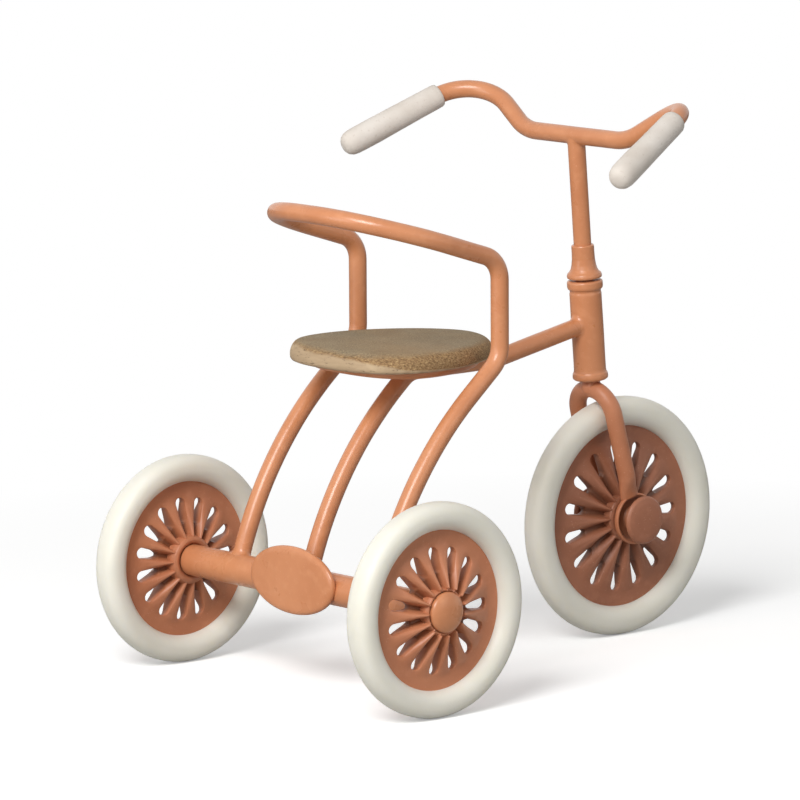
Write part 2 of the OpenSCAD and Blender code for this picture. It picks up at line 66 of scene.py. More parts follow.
Colour = tuple[float, float, float]
Stops = tuple[tuple[float, Colour], ...]
Outline = Sequence[tuple[float, float]]


def unit(value: float) -> float:
    """Keeps a value within 0 and 1."""
    return min(1.0, max(0.0, value))


def ease(share: float) -> float:
    """Makes a share of 0 to 1 start and stop softly."""
    return share * share * (3 - 2 * share)


def sideways(way: int = 1) -> Vector:
    """The direction to the left for 1, to the right for -1."""
    return Vector((0, way, 0))


# ---------------------------------------------------------------- shader graph

def linear(red: float, green: float, blue: float) -> tuple[float, float, float, float]:
    """Turns a display colour into Blender's linear colour.

    Args:
        red: Red, 0 to 255.
        green: Green, 0 to 255.
        blue: Blue, 0 to 255.

    Returns:
        The linear colour, opaque.
    """
    def one(c: float) -> float:
        """Linearises one channel."""
        c /= 255
        return c / 12.92 if c <= 0.04045 else ((c + 0.055) / 1.055) ** 2.4
    return (one(red), one(green), one(blue), 1.0)


class Wire:
    """A shader socket that can be used in arithmetic."""

    def __init__(self, graph: "Graph", socket: bpy.types.NodeSocket) -> None:
        """Wraps an output socket of a graph."""
        self.graph = graph
        self.socket = socket

    def _math(self, operation: str, *values: "Wire | float") -> "Wire":
        """Adds a Math node that works on this graph's values."""
        return self.graph.node("ShaderNodeMath", {"operation": operation},
                               dict(enumerate(values)))

    def __add__(self, other: "Wire | float") -> "Wire":
        """Adds two values."""
        return self._math("ADD", self, other)

    __radd__ = __add__

    def __sub__(self, other: "Wire | float") -> "Wire":
        """Subtracts a value."""
        return self._math("SUBTRACT", self, other)

    def __rsub__(self, other: float) -> "Wire":
        """Subtracts this from a number."""
        return self._math("SUBTRACT", other, self)

    def __mul__(self, other: "Wire | float") -> "Wire":
        """Multiplies two values."""
        return self._math("MULTIPLY", self, other)

    __rmul__ = __mul__

    def most(self, other: "Wire") -> "Wire":
        """The larger of two values."""
        return self._math("MAXIMUM", self, other)

    def beside(self, name: str) -> "Wire":
        """Another output of the same node."""
        return Wire(self.graph, self.socket.node.outputs[name])

    def clamp(self, low: float, high: float) -> "Wire":
        """Maps low..high to 0..1 and stops there."""
        return self.graph.node("ShaderNodeMapRange", {"clamp": True},
                               {"Value": self, "From Min": low, "From Max": high})


class Graph:
    """The node tree of one material or of the world."""

    def __init__(self, owner: bpy.types.Material | bpy.types.World) -> None:
        """Empties the owner's node tree.

        Args:
            owner: The material or the world that the nodes belong to.
        """
        self.owner = owner
        owner.use_nodes = True
        self.tree = owner.node_tree
        self.tree.nodes.clear()

    @classmethod
    def material(cls, name: str) -> "Graph":
        """Starts the graph of a new material."""
        return cls(bpy.data.materials.new(name))

    def node(self, kind: str, settings: dict | None = None, inputs: dict | None = None,
             out: int | str = 0) -> Wire:
        """Adds a node.

        Args:
            kind: The node's type name.
            settings: Attributes set first; "stops" holds a colour ramp's stops.
            inputs: Values or wires, by socket name or number.
            out: The output that is returned.

        Returns:
            The wanted output as a Wire.
        """
        made = self.tree.nodes.new(kind)
        for key, value in (settings or {}).items():
            if key == "stops":
                ramp = made.color_ramp
                while len(ramp.elements) < len(value):
                    ramp.elements.new(0.5)
                for element, (place, colour) in zip(ramp.elements, value):
                    element.position = place
                    element.color = colour
            else:
                setattr(made, key, value)
        for key, value in (inputs or {}).items():
            if isinstance(value, Wire):
                self.tree.links.new(value.socket, made.inputs[key])
            else:
                made.inputs[key].default_value = value
        return Wire(self, made.outputs[out])

    def place(self, scale: Sequence[float] = (1, 1, 1)) -> Wire:
        """Object coordinates, stretched."""
        here = self.node("ShaderNodeTexCoord", out="Object")
        return self.node("ShaderNodeMapping", {"vector_type": "POINT"},
                         {"Vector": here, "Scale": scale})

    def noise(self, where: Wire, scale: float, detail: float = 2, rough: float = 0.5) -> Wire:
        """Soft noise of 0 to 1, with scale in features a metre."""
        return self.node("ShaderNodeTexNoise", {"noise_dimensions": "3D"},
                         {"Vector": where, "Scale": scale, "Detail": detail, "Roughness": rough})

    def part(self, vector: Wire, axis: str) -> Wire:
        """One part of a vector, X, Y or Z."""
        return self.node("ShaderNodeSeparateXYZ", inputs={"Vector": vector}, out=axis)

    def blend(self, share: Wire | float, first: Wire | Colour, second: Wire | Colour) -> Wire:
        """Mixes two colours, each a wire or a display colour."""
        one, two = (c if isinstance(c, Wire) else linear(*c) for c in (first, second))
        return self.node("ShaderNodeMix", {"data_type": "RGBA"}, {0: share, 6: one, 7: two}, out=2)

    def ramp(self, share: Wire, stops: Stops) -> Wire:
        """Turns a value into a colour, by stops in display colours."""
        shown = tuple((place, linear(*colour)) for place, colour in stops)
        return self.node("ShaderNodeValToRGB", {"stops": shown}, {"Fac": share})

    def bump(self, height: Wire, distance: float, under: Wire | None = None) -> Wire:
        """Turns a height into a normal.

        Args:
            height: The height, 0 to 1.
            distance: What a height of 1 stands for, in metres.
            under: A normal that this one is laid on, if any.

        Returns:
            The normal.
        """
        inputs: dict = {"Height": height, "Distance": distance}
        if under is not None:
            inputs["Normal"] = under
        return self.node("ShaderNodeBump", inputs=inputs)

    def output(self, surface: Wire, kind: str = "ShaderNodeOutputMaterial") -> None:
        """Ends the graph in an output node."""
        end = self.tree.nodes.new(kind)
        self.tree.links.new(surface.socket, end.inputs["Surface"])

    def finish(self, **sockets: object) -> bpy.types.Material:
        """Adds the surface shader and the output.

        Args:
            sockets: The shader's inputs, with underscores for spaces.

        Returns:
            The finished material.
        """
        named = {key.replace("_", " "): value for key, value in sockets.items()}
        self.output(self.node("ShaderNodeBsdfPrincipled", inputs=named))
        return self.owner


# ---------------------------------------------------------------- finishes

class Shade(Enum):
    """Enamel shades: rods and tubes; rear wheels and fork; a darker copy for the front wheel and
    its buttons.
    """

    BODY = "body"
    CAST = "cast"
    DEEP = "deep"


@dataclass(frozen=True)
class Tones:
    """The main, the darker and the paler colour of one shade of enamel, and its roughness."""

    main: Colour
    deep: Colour
    pale: Colour
    rough: float


TONES: dict[Shade, Tones] = {
    Shade.BODY: Tones((209, 140, 97), (198, 128, 85), (219, 154, 112), 0.22),
    Shade.CAST: Tones((196, 127, 90), (182, 114, 79), (206, 139, 103), 0.36),
    Shade.DEEP: Tones((166, 106, 77), (152, 95, 68), (182, 121, 92), 0.4),
}


@dataclass(frozen=True)
class Enamel:
    """Thick satin enamel: soft ripples, a little orange peel, dust specks, painted shade in the
    valleys and a painted highlight on the crests.
    """

    shade: Shade = Shade.BODY
    dust: Colour = (231, 186, 158)
    # the colour of the painted shade in the valleys between ribs and in the fork's cups
    valley_shade: Colour = (84, 48, 28)
    ripple: float = 0.05 * MM
    peel: float = 0.012 * MM

    def make(self) -> bpy.types.Material:
        """Builds the material.

        Returns:
            The enamel in this shade.
        """
        tones = TONES[self.shade]
        graph = Graph.material(f"enamel_{self.shade.value}")
        here = graph.place()
        cloud = graph.noise(here, 90, 3).clamp(0.35, 0.7)
        colour = graph.blend(cloud, tones.main, tones.deep)
        mottle = graph.noise(here, 420, 2).clamp(0.52, 0.8)
        colour = graph.blend(mottle * 0.45, colour, tones.pale)
        speck = graph.noise(here, 3200, 1).clamp(0.72, 0.76)
        colour = graph.blend(speck * 0.35, colour, self.dust)
        # Painted shade: valleys between ribs and the fork's cups blend towards a dark brown.
        # Painted highlight: rib crests blend towards the paler tone.
        depth = graph.node("ShaderNodeAttribute", {"attribute_name": PAINTED_SHADING}, out="Fac")
        colour = graph.blend(depth.clamp(0.0, 1.0) * 0.75, colour, self.valley_shade)
        colour = graph.blend((depth * -1.0).clamp(0.0, 1.0) * 0.5, colour, tones.pale)
        smear = graph.noise(here, 160, 3)
        waves = graph.bump(graph.noise(here, 260, 2), self.ripple)
        skin = graph.bump(graph.noise(here, 1700, 1), self.peel, under=waves)
        return graph.finish(Base_Color=colour, Roughness=smear * 0.14 + tones.rough, Normal=skin,
                            Specular_IOR_Level=0.5)


@dataclass(frozen=True)
class SeatWood:
    """Bare wood: grey on top, tan at the rounded edge, open end grain on the two sides.

    Between tail_x and nose_x, in metres, the end grain comes down over the edge.
    """

    tail_x: float = -0.032
    nose_x: float = 0.0
    tan: Stops = ((0.0, (146, 123, 95)), (0.45, (180, 155, 124)), (0.75, (196, 172, 139)),
                  (1.0, (212, 189, 156)))
    grey: Stops = ((0.36, (108, 93, 69)), (0.5, (139, 125, 102)), (0.68, (172, 157, 128)))
    end_grain: Stops = ((0.32, (96, 68, 38)), (0.45, (138, 106, 70)), (0.58, (166, 133, 90)),
                        (0.72, (208, 176, 126)))
    warm: Colour = (162, 133, 97)
    dots: Colour = (192, 174, 138)
    pore: Colour = (92, 74, 54)
    grain_depth: float = 0.22 * MM
    fibre_depth: float = 0.1 * MM

    def make(self) -> bpy.types.Material:
        """Builds the material.

        Returns:
            The wood, with its fibres along Y.
        """
        graph = Graph.material("seat_wood")
        here = graph.place()
        along = graph.place(scale=(1, 0.11, 1))
        normal = graph.node("ShaderNodeNewGeometry", out="Normal")
        across, upward = graph.part(normal, "Y"), graph.part(normal, "Z")
        wobble = graph.noise(here, 220, 3)
        ahead = graph.part(here, "X").clamp(self.tail_x, self.nose_x)
        ends = (across * across * 0.6 + upward * 0.74 - across * 0.25 + ahead * 0.55
                + wobble * 0.3).clamp(0.64, 0.78)
        flat = (upward + wobble * 0.2).clamp(0.9, 1.1)

        bend = graph.noise(graph.place(scale=(1, 0.25, 1)), 70, 2)
        fibres = graph.noise(along, 1300, 3, 0.6)
        bands = graph.node("ShaderNodeTexWave", {"wave_type": "BANDS", "bands_direction": "X"},
                           {"Vector": along, "Scale": 95, "Distortion": 6, "Detail": 3,
                            "Detail Scale": 1.6}, out=1)
        tan = graph.ramp(fibres * 0.5 + bands * 0.2 + bend * 0.3, self.tan)

        mottle, fleck = graph.noise(here, 130, 4, 0.6), graph.noise(here, 2900, 3, 0.75)
        grey = graph.ramp(mottle * 0.25 + fleck * 0.65 + fibres * 0.15, self.grey)
        warmth = (bend - ahead * 0.2).clamp(0.3, 0.55)
        grey = graph.blend(warmth * 0.55, grey, self.warm)
        dots = graph.noise(here, 3000, 2).clamp(0.57, 0.66)
        grey = graph.blend(dots * 0.75, grey, self.dots)

        stroke = graph.noise(graph.place(scale=(1, 0.6, 1.4)), 2300, 3, 0.7)
        colour = graph.blend(ends * 0.9, tan, graph.ramp(stroke, self.end_grain))
        colour = graph.blend(flat * 0.9, colour, grey)
        pores = graph.noise(graph.place(scale=(1, 0.3, 1)), 2600, 1).clamp(0.66, 0.72)
        colour = graph.blend(pores * 0.5, colour, self.pore)
        open_grain = graph.bump(stroke * ends, self.grain_depth)
        lift = graph.bump(fibres * 0.7 - pores * 0.8, self.fibre_depth, under=open_grain)
        return graph.finish(Base_Color=colour, Roughness=fibres * 0.15 + 0.7, Normal=lift,
                            Specular_IOR_Level=0.3)


@dataclass(frozen=True)
class TyreRubber:
    """Soft milky rubber, slightly translucent, with a faint cloudy tone."""

    milky: Colour = (236, 233, 222)
    cloudy: Colour = (228, 225, 212)
    skin_depth: float = 0.02 * MM
    light_reach: float = 2.4 * MM

    def make(self) -> bpy.types.Material:
        """Builds the material.

        Returns:
            The rubber.
        """
        graph = Graph.material("tyre_rubber")
        here = graph.place()
        cloud = graph.noise(here, 70, 3).clamp(0.3, 0.75)
        dust = graph.noise(here, 2400, 2)
        return graph.finish(Base_Color=graph.blend(cloud, self.milky, self.cloudy),
                            Roughness=dust * 0.1 + 0.42, Normal=graph.bump(dust, self.skin_depth),
                            Subsurface_Weight=0.6, Subsurface_Radius=(1.0, 0.95, 0.8),
                            Subsurface_Scale=self.light_reach, Specular_IOR_Level=0.4)


@dataclass(frozen=True)
class GripPlastic:
    """Chalky off-white coating with a fine dry grain."""

    chalk: Colour = (228, 220, 211)
    cloudy: Colour = (213, 203, 192)
    speck: Colour = (196, 181, 168)
    grain_depth: float = 0.06 * MM

    def make(self) -> bpy.types.Material:
        """Builds the material.

        Returns:
            The coating.
        """
        graph = Graph.material("grip_plastic")
        here = graph.place()
        cloud = graph.noise(here, 130, 3).clamp(0.35, 0.7)
        colour = graph.blend(cloud, self.chalk, self.cloudy)
        grain = graph.noise(here, 3000, 3, 0.7)
        specks = graph.noise(here, 1500, 2).clamp(0.64, 0.72)
        colour = graph.blend(specks * 0.35, colour, self.speck)
        return graph.finish(Base_Color=colour, Roughness=grain * 0.1 + 0.82,
                            Normal=graph.bump(grain, self.grain_depth), Specular_IOR_Level=0.3)


@dataclass(frozen=True)
class DrawnSteel:
    """Dull dark steel of the hidden rods and screws."""

    dark: Colour = (70, 65, 61)
    light: Colour = (92, 86, 81)

    def make(self) -> bpy.types.Material:
        """Builds the material.

        Returns:
            The steel, with drawing lines along Y.
        """
        graph = Graph.material("drawn_steel")
        lines = graph.noise(graph.place(scale=(1, 0.05, 1)), 2500, 2)
        return graph.finish(Base_Color=graph.blend(lines, self.dark, self.light), Metallic=1.0,
                            Roughness=lines * 0.2 + 0.45)


def make_enamels() -> dict[Shade, bpy.types.Material]:
    """Makes the enamel in every shade."""
    return {shade: Enamel(shade).make() for shade in Shade}


@dataclass
class Finishes:
    """All materials of the tricycle, made once."""

    enamel: dict[Shade, bpy.types.Material] = field(default_factory=make_enamels)
    wood: bpy.types.Material = field(default_factory=SeatWood().make)
    tyre: bpy.types.Material = field(default_factory=TyreRubber().make)
    grip: bpy.types.Material = field(default_factory=GripPlastic().make)
    steel: bpy.types.Material = field(default_factory=DrawnSteel().make)


# ---------------------------------------------------------------- places

@dataclass
class Places:
    """Points and directions that all sub-assemblies share, read from the frame."""

    rear: Vector = field(init=False)
    front: Vector = field(init=False)
    pivot: Vector = field(init=False)
    axis: Vector = field(init=False)

    def __post_init__(self) -> None:
        """Reads the axles and the steering axis."""
        self.rear = self.middle("rear_axle")
        self.front = self.middle("front_axle")
        joint = next(j for j in frame["joints"] if j["name"] == "steering")
        self.pivot = Vector(joint["pos_m"])
        self.axis = Vector(joint["axis"]).normalized()

    def middle(self, node: str) -> Vector:
        """The middle of a CAD node's box."""
        low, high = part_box(node)
        return (low + high) / 2

    def at(self, x: float, y: float, z: float) -> Vector:
        """A point in millimetres ahead of the rear axle, to the left, above the ground."""
        return Vector((self.rear.x + x * MM, y * MM, z * MM))

    def steer(self, u: float, y: float, v: float) -> Vector:
        """A point in millimetres ahead of, left of and up the steering axis."""
        ahead = Vector((self.axis.z, 0, -self.axis.x))
        return self.pivot + ahead * u * MM + Vector((0, y * MM, 0)) + self.axis * v * MM


# ---------------------------------------------------------------- shaping tools

LONGEST_LEAD = 0.49    # the most of a side that the rounding of one corner takes


def round_corners(corners: Outline, radii: Sequence[float],
                  steps: int = 5) -> list[tuple[float, float]]:
    """Rounds the inner corners of an open outline.

    Args:
        corners: The outline's corners in millimetres.
        radii: One radius for each corner, 0 where it stays sharp.
        steps: Points along each arc.

    Returns:
        The rounded outline.
    """
    out: list[tuple[float, float]] = []
    for i, here in enumerate(corners):
        point = Vector(here)
        if radii[i] <= 0 or i in (0, len(corners) - 1):
            out.append(here)
            continue
        back, on = Vector(corners[i - 1]) - point, Vector(corners[i + 1]) - point
        half = back.angle(on) / 2
        lead = min(radii[i] / math.tan(half), LONGEST_LEAD * back.length,
                   LONGEST_LEAD * on.length)
        start, end = point + back.normalized() * lead, point + on.normalized() * lead
        for k in range(steps + 1):
            t = k / steps
            mid = start * (1 - t) ** 2 + point * 2 * t * (1 - t) + end * t ** 2
            out.append((mid.x, mid.y))
    return out


def lathe(profile: Outline, around: int) -> bmesh.types.BMesh:
    """Spins a profile about Z into a skin.

    Args:
        profile: Points of (radius, height) in millimetres.
        around: Points round the axis.

    Returns:
        The mesh, open only where the profile ends off the axis.
    """
    mesh = bmesh.new()
    verts = [mesh.verts.new((r * MM, 0, h * MM)) for r, h in profile]
    edges = [mesh.edges.new(pair) for pair in zip(verts, verts[1:])]
    bmesh.ops.spin(mesh, geom=verts + edges, cent=(0, 0, 0), axis=(0, 0, 1), angle=TAU,
                   steps=around, use_merge=True, use_duplicate=False)
    bmesh.ops.remove_doubles(mesh, verts=mesh.verts, dist=SAME)
    bmesh.ops.recalc_face_normals(mesh, faces=mesh.faces)
    return mesh


def fill_holes(mesh: bmesh.types.BMesh) -> None:
    """Closes every hole with one face."""
    bmesh.ops.holes_fill(mesh, edges=[e for e in mesh.edges if e.is_boundary], sides=0)


def stand(mesh: bmesh.types.BMesh, base: Vector, axis: Vector) -> bmesh.types.BMesh:
    """Turns a mesh made about Z onto an axis.

    Args:
        mesh: The mesh.
        base: Where its zero goes, in metres.
        axis: Where its Z points.

    Returns:
        The same mesh, in place.
    """
    turn = axis.to_track_quat("Z", "Y").to_matrix().to_4x4()
    bmesh.ops.transform(mesh, matrix=Matrix.Translation(base) @ turn, verts=mesh.verts)
    return mesh


def join(meshes: Sequence[bmesh.types.BMesh]) -> bmesh.types.BMesh:
    """Puts several meshes into one.

    Args:
        meshes: The meshes, which are used up.

    Returns:
        One mesh with all of them.
    """
    whole = bmesh.new()
    for part in meshes:
        data = bpy.data.meshes.new("part")
        part.to_mesh(data)
        part.free()
        whole.from_mesh(data)
        bpy.data.meshes.remove(data)
    return whole


class Loft:
    """Grows a shell ring by ring out of one circle."""

    def __init__(self, count: int) -> None:
        """Starts with no ring.

        Args:
            count: The number of points in each ring.
        """
        self.count = count
        self.mesh = bmesh.new()
        self.verts: list[bmesh.types.BMVert] = []
        self.edges: list[bmesh.types.BMEdge] = []

    def ring(self, points: Sequence[Vector]) -> None:
        """Adds the next ring.

        Args:
            points: The ring's points, in metres.
        """
        if not self.verts:
            made = bmesh.ops.create_circle(self.mesh, cap_ends=False, segments=self.count,
                                           radius=1.0)
            self.verts = list(made["verts"])
            self.edges = list(self.mesh.edges)
        else:
            made = bmesh.ops.extrude_edge_only(self.mesh, edges=self.edges)
            fresh = {g for g in made["geom"] if isinstance(g, bmesh.types.BMVert)}
            self.edges = [g for g in made["geom"] if isinstance(g, bmesh.types.BMEdge)
                          and g.verts[0] in fresh and g.verts[1] in fresh]
            self.verts = [next(e.other_vert(v) for e in v.link_edges if e.other_vert(v) in fresh)
                          for v in self.verts]
        for vert, point in zip(self.verts, points):
            vert.co = point

    def cap(self) -> None:
        """Closes the last ring."""
        bmesh.ops.contextual_create(self.mesh, geom=self.edges)

    def close(self) -> bmesh.types.BMesh:
        """Caps the open ends and turns the faces outwards.

        Returns:
            The closed mesh.
        """
        fill_holes(self.mesh)
        bmesh.ops.recalc_face_normals(self.mesh, faces=self.mesh.faces)
        return self.mesh


@dataclass
class Round:
    """A round surface that a rod is welded to: an endless cylinder."""

    point: Vector
    axis: Vector
    radius: float

    def off(self, where: Vector) -> Vector:
        """The vector from the axis to a point, square to the axis."""
        gap = where - self.point
        return gap - self.axis * gap.dot(self.axis)

    def snap(self, where: Vector, sink: float) -> Vector:
        """The nearest point on the surface, sunk by a little."""
        off = self.off(where)
        return where - off + off.normalized() * (self.radius - sink)

    def travel(self, where: Vector, heading: Vector) -> float:
        """How far a point goes along a heading until it meets the surface.

        Args:
            where: The point.
            heading: The unit vector that it goes along.

        Returns:
            The way to go, in metres.
        """
        off, side = self.off(where), heading - self.axis * heading.dot(self.axis)
        a, b, c = side.length_squared, off.dot(side), off.length_squared - self.radius ** 2
        room = b * b - a * c
        return (-b - math.sqrt(max(room, 0.0))) / a


class BentRod:
    """A round rod through corner points, with a bend at each inner corner and welded ends."""

    WIDEST_TURN = 0.12               # most turn between two rings of a bend, in radians
    WAVES, WAVE = 160, 0.018         # uneven skin: waves a metre, and their height
    WELD_ROWS, WELD_SINK = 9, 0.03   # rings of a weld, and how far its foot is sunk
    CLEAR = 0.3                      # free way between a weld's top and the rod's first ring
    NOSE_STEPS = (0.15, 0.4, 0.7, 0.95)
    NOSE_ARC, NOSE_LONG = 0.35, 0.3  # how round an end is, and how far it reaches, as shares

    def __init__(self, corners: Sequence[Vector], bends: Sequence[float], radius: float,
                 count: int = 36, step: float = 0.8) -> None:
        """Works out the centre line.

        Args:
            corners: Corner points in metres.
            bends: Bend radius in millimetres at each inner corner.
            radius: The rod's radius in millimetres.
            count: Points round the rod.
            step: Longest distance between rings, in millimetres.
        """
        self.radius, self.count, self.step = radius * MM, count, step * MM
        self.line = self._lay(corners, bends)
        self.arms = self._carry()

    def _bend(self, corner: Vector, heading: Vector, onward: Vector,
              size: float) -> tuple[Vector, Vector, list[tuple[Vector, Vector]]]:
        """Rounds one corner of the centre line.

        Args:
            corner: The corner.
            heading: The way into it.
            onward: The way out of it.
            size: The bend's radius in metres.

        Returns:
            Where the bend starts and ends, and the places and headings between.
        """
        turn = heading.angle(onward)
        lead = size * math.tan(turn / 2)
        start = corner - heading * lead
        hinge = heading.cross(onward).normalized()
        centre = start + hinge.cross(heading) * size
        pieces = max(3, math.ceil(size * turn / self.step), math.ceil(turn / self.WIDEST_TURN))
        arc = []
        for k in range(1, pieces):
            swing = Matrix.Rotation(turn * k / pieces, 3, hinge)
            arc.append((centre + swing @ (start - centre), swing @ heading))
        return start, corner + onward * lead, arc

    def _lay(self, corners: Sequence[Vector],
             bends: Sequence[float]) -> list[tuple[Vector, Vector]]:
        """Lays the centre line through straights and bends.

        Args:
            corners: Corner points in metres.
            bends: Bend radius in millimetres at each inner corner.

        Returns:
            The place and the heading at each ring.
        """
        line: list[tuple[Vector, Vector]] = []
        at = corners[0]
        for i in range(1, len(corners)):
            heading = (corners[i] - at).normalized()
            stop, after, arc = corners[i], corners[i], []
            if i < len(corners) - 1:
                onward = (corners[i + 1] - corners[i]).normalized()
                stop, after, arc = self._bend(corners[i], heading, onward, bends[i - 1] * MM)
            pieces = max(1, math.ceil((stop - at).length / self.step))
            line += [(at.lerp(stop, k / pieces), heading) for k in range(pieces + 1)]
            line += arc
            at = after
        return line

    def _carry(self) -> list[Vector]:
        """Carries one side vector along the line without twist.

        Returns:
            The side vector at each ring.
        """
        arms = []
        before = self.line[0][1]
        side = before.orthogonal().normalized()
        for _, heading in self.line:
            side = before.rotation_difference(heading) @ side
            side = (side - heading * side.dot(heading)).normalized()
            before = heading
            arms.append(side)
        return arms

    def spokes(self, index: int) -> list[Vector]:
        """Finds the ways from the centre line to the skin.

        Args:
            index: The ring.

        Returns:
            One unit vector for each point of the ring.
        """
        heading, side = self.line[index][1], self.arms[index]
        other = heading.cross(side)
        return [side * math.cos(TAU * k / self.count) + other * math.sin(TAU * k / self.count)
                for k in range(self.count)]

    def skin(self, index: int) -> list[Vector]:
        """Makes one ring of the skin, slightly uneven as dipped enamel is.

        Args:
            index: The ring.

        Returns:
            The ring's points.
        """
        here = self.line[index][0]
        out = []
        for arm in self.spokes(index):
            wave = noise.noise((here + arm * self.radius) * self.WAVES) * self.WAVE * MM
            out.append(here + arm * (self.radius + wave))
        return out

    def weld(self, index: int, heading: Vector, on: Round, lift: float,
             spread: float) -> list[list[Vector]]:
        """Makes the rings of a weld's fillet.

        Args:
            index: The ring of the rod that the fillet ends at.
            heading: The way from there to the surface.
            on: The surface.
            lift: Height of the fillet up the rod, in millimetres.
            spread: Reach of the fillet over the surface, in millimetres.

        Returns:
            Rings from the rod outwards onto the surface.
        """
        here = self.line[index][0]
        rings: list[list[Vector]] = [[] for _ in range(self.WELD_ROWS)]
        for arm in self.spokes(index):
            start = here + arm * self.radius
            corner = start + heading * on.travel(start, heading)
            normal = on.off(corner).normalized()
            out = (arm - normal * arm.dot(normal)).normalized()
            foot = on.snap(corner + out * spread * MM, self.WELD_SINK * MM)
            top = corner - heading * lift * MM
            for k, ring in enumerate(rings):
                t = k / (len(rings) - 1)
                ring.append(top * (1 - t) ** 2 + corner * 2 * t * (1 - t) + foot * t ** 2)
        return rings

    def build(self, first: Round | None = None, last: Round | None = None, lift: float = 1.2,
              spread: float = 1.1) -> bmesh.types.BMesh:
        """Makes the skin.

        Args:
            first: What the first end is welded to, or None for a round end.
            last: What the last end is welded to, or None for a round end.
            lift: Height of the fillets along the rod, in millimetres.
            spread: Reach of the fillets over the surfaces, in millimetres.

        Returns:
            The closed mesh.
        """
        loft = Loft(self.count)
        low, high = 0, len(self.line) - 1
        if first is not None:
            low = self._clear(first, range(len(self.line)), lift)
            for ring in reversed(self.weld(low, -self.line[low][1], first, lift, spread)):
                loft.ring(ring)
        else:
            self._nose(loft, low, -1)
        if last is not None:
            high = self._clear(last, range(len(self.line) - 1, -1, -1), lift)
        for index in range(low, high + 1):
            loft.ring(self.skin(index))
        if last is not None:
            for ring in self.weld(high, self.line[high][1], last, lift, spread):
                loft.ring(ring)
        else:
            self._nose(loft, high, 1)
        return loft.close()

    def _clear(self, on: Round, order: Sequence[int], lift: float) -> int:
        """Finds the first ring that stands clear of a weld.

        Args:
            on: The surface that the rod is welded to.
            order: The rings, from the surface on.
            lift: The fillet's height in millimetres.

        Returns:
            The ring's number.
        """
        for index in order:
            here, _ = self.line[index]
            gap = min(on.off(here + arm * self.radius).length for arm in self.spokes(index))
            if gap > on.radius + (lift + self.CLEAR) * MM:
                return index
        return order[0]

    def _nose(self, loft: Loft, index: int, way: int) -> None:
        """Rounds off an end that isn't welded.

        Args:
            loft: The shell that grows.
            index: The ring at the end.
            way: -1 at the first end, 1 at the last.
        """
        here, heading = self.line[index]
        for share in self.NOSE_STEPS[::way]:
            turn = share * math.pi / 2
            size = math.cos(turn) * self.NOSE_ARC + (1 - self.NOSE_ARC) * (1 - share ** 3)
            reach = heading * way * math.sin(turn) * self.NOSE_LONG * self.radius
            loft.ring([here + reach + arm * self.radius * size for arm in self.spokes(index)])


@dataclass
class Piece:
    """One finished piece of the scene, the body it rides on and the CAD node it replaces."""

    name: str
    body: str
    slot: str
    node: str

    def place(self, mesh: bmesh.types.BMesh, finish: bpy.types.Material, smooth: float) -> None:
        """Makes the object, dresses it and ties it to its body.

        Args:
            mesh: The finished shape, in metres, in place.
            finish: Its material.
            smooth: Edges sharper than this many degrees stay sharp.
        """
        data = bpy.data.meshes.new(self.name)
        sharp = math.radians(smooth)
        for edge in mesh.edges:
            edge.smooth = len(edge.link_faces) != 2 or edge.calc_face_angle(0) < sharp
        for face in mesh.faces:
            face.smooth = True
        mesh.to_mesh(data)
        mesh.free()
        data.materials.append(finish)
        piece = bpy.data.objects.new(self.name, data)
        bpy.context.scene.collection.objects.link(piece)
        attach(piece, self.body)
        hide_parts(self.node)
        LOG.info("%s: %d faces on %s", self.name, len(data.polygons), self.body)


# ---------------------------------------------------------------- wheels

@dataclass(frozen=True)
class Teardrop:
    """A wheel's slot: a small circle near the hub and a larger one outside, with straight sides."""

    inner_at: float
    inner_r: float
    outer_at: float
    outer_r: float
    widest: float = 0.35    # an angle that no slot reaches, in radians
    halvings: int = 40

    def distance(self, along: float, across: float) -> float:
        """How far a point lies outside the slot.

        Args:
            along: The point's place out from the axle, in millimetres.
            across: Its place across the slot, in millimetres.

        Returns:
            The distance in millimetres, below 0 inside the slot.
        """
        run = self.outer_at - self.inner_at
        lean = (self.inner_r - self.outer_r) / run
        rest = math.sqrt(1 - lean * lean)
        x, y = abs(across), along - self.inner_at
        side = -lean * x + rest * y
        if side < 0:
            return math.hypot(x, y) - self.inner_r
        if side > rest * run:
            return math.hypot(x, y - run) - self.outer_r
        return x * rest + y * lean - self.inner_r

    @property
    def low(self) -> float:
        """The slot's nearest point to the hub."""
        return self.inner_at - self.inner_r

    @property
    def high(self) -> float:
        """The slot's farthest point from the hub."""
        return self.outer_at + self.outer_r

    def half_angle(self, radius: float) -> float:
        """Half of the angle that the slot takes of a circle round the axle.

        Args:
            radius: The circle's radius in millimetres.

        Returns:
            The angle in radians, 0 where the circle misses the slot.
        """
        if not self.low < radius < self.high:
            return 0.0
        low, high = 0.0, self.widest
        for _ in range(self.halvings):
            mid = (low + high) / 2
            if self.distance(radius * math.cos(mid), radius * math.sin(mid)) < 0:
                low = mid
            else:
                high = mid
        return low


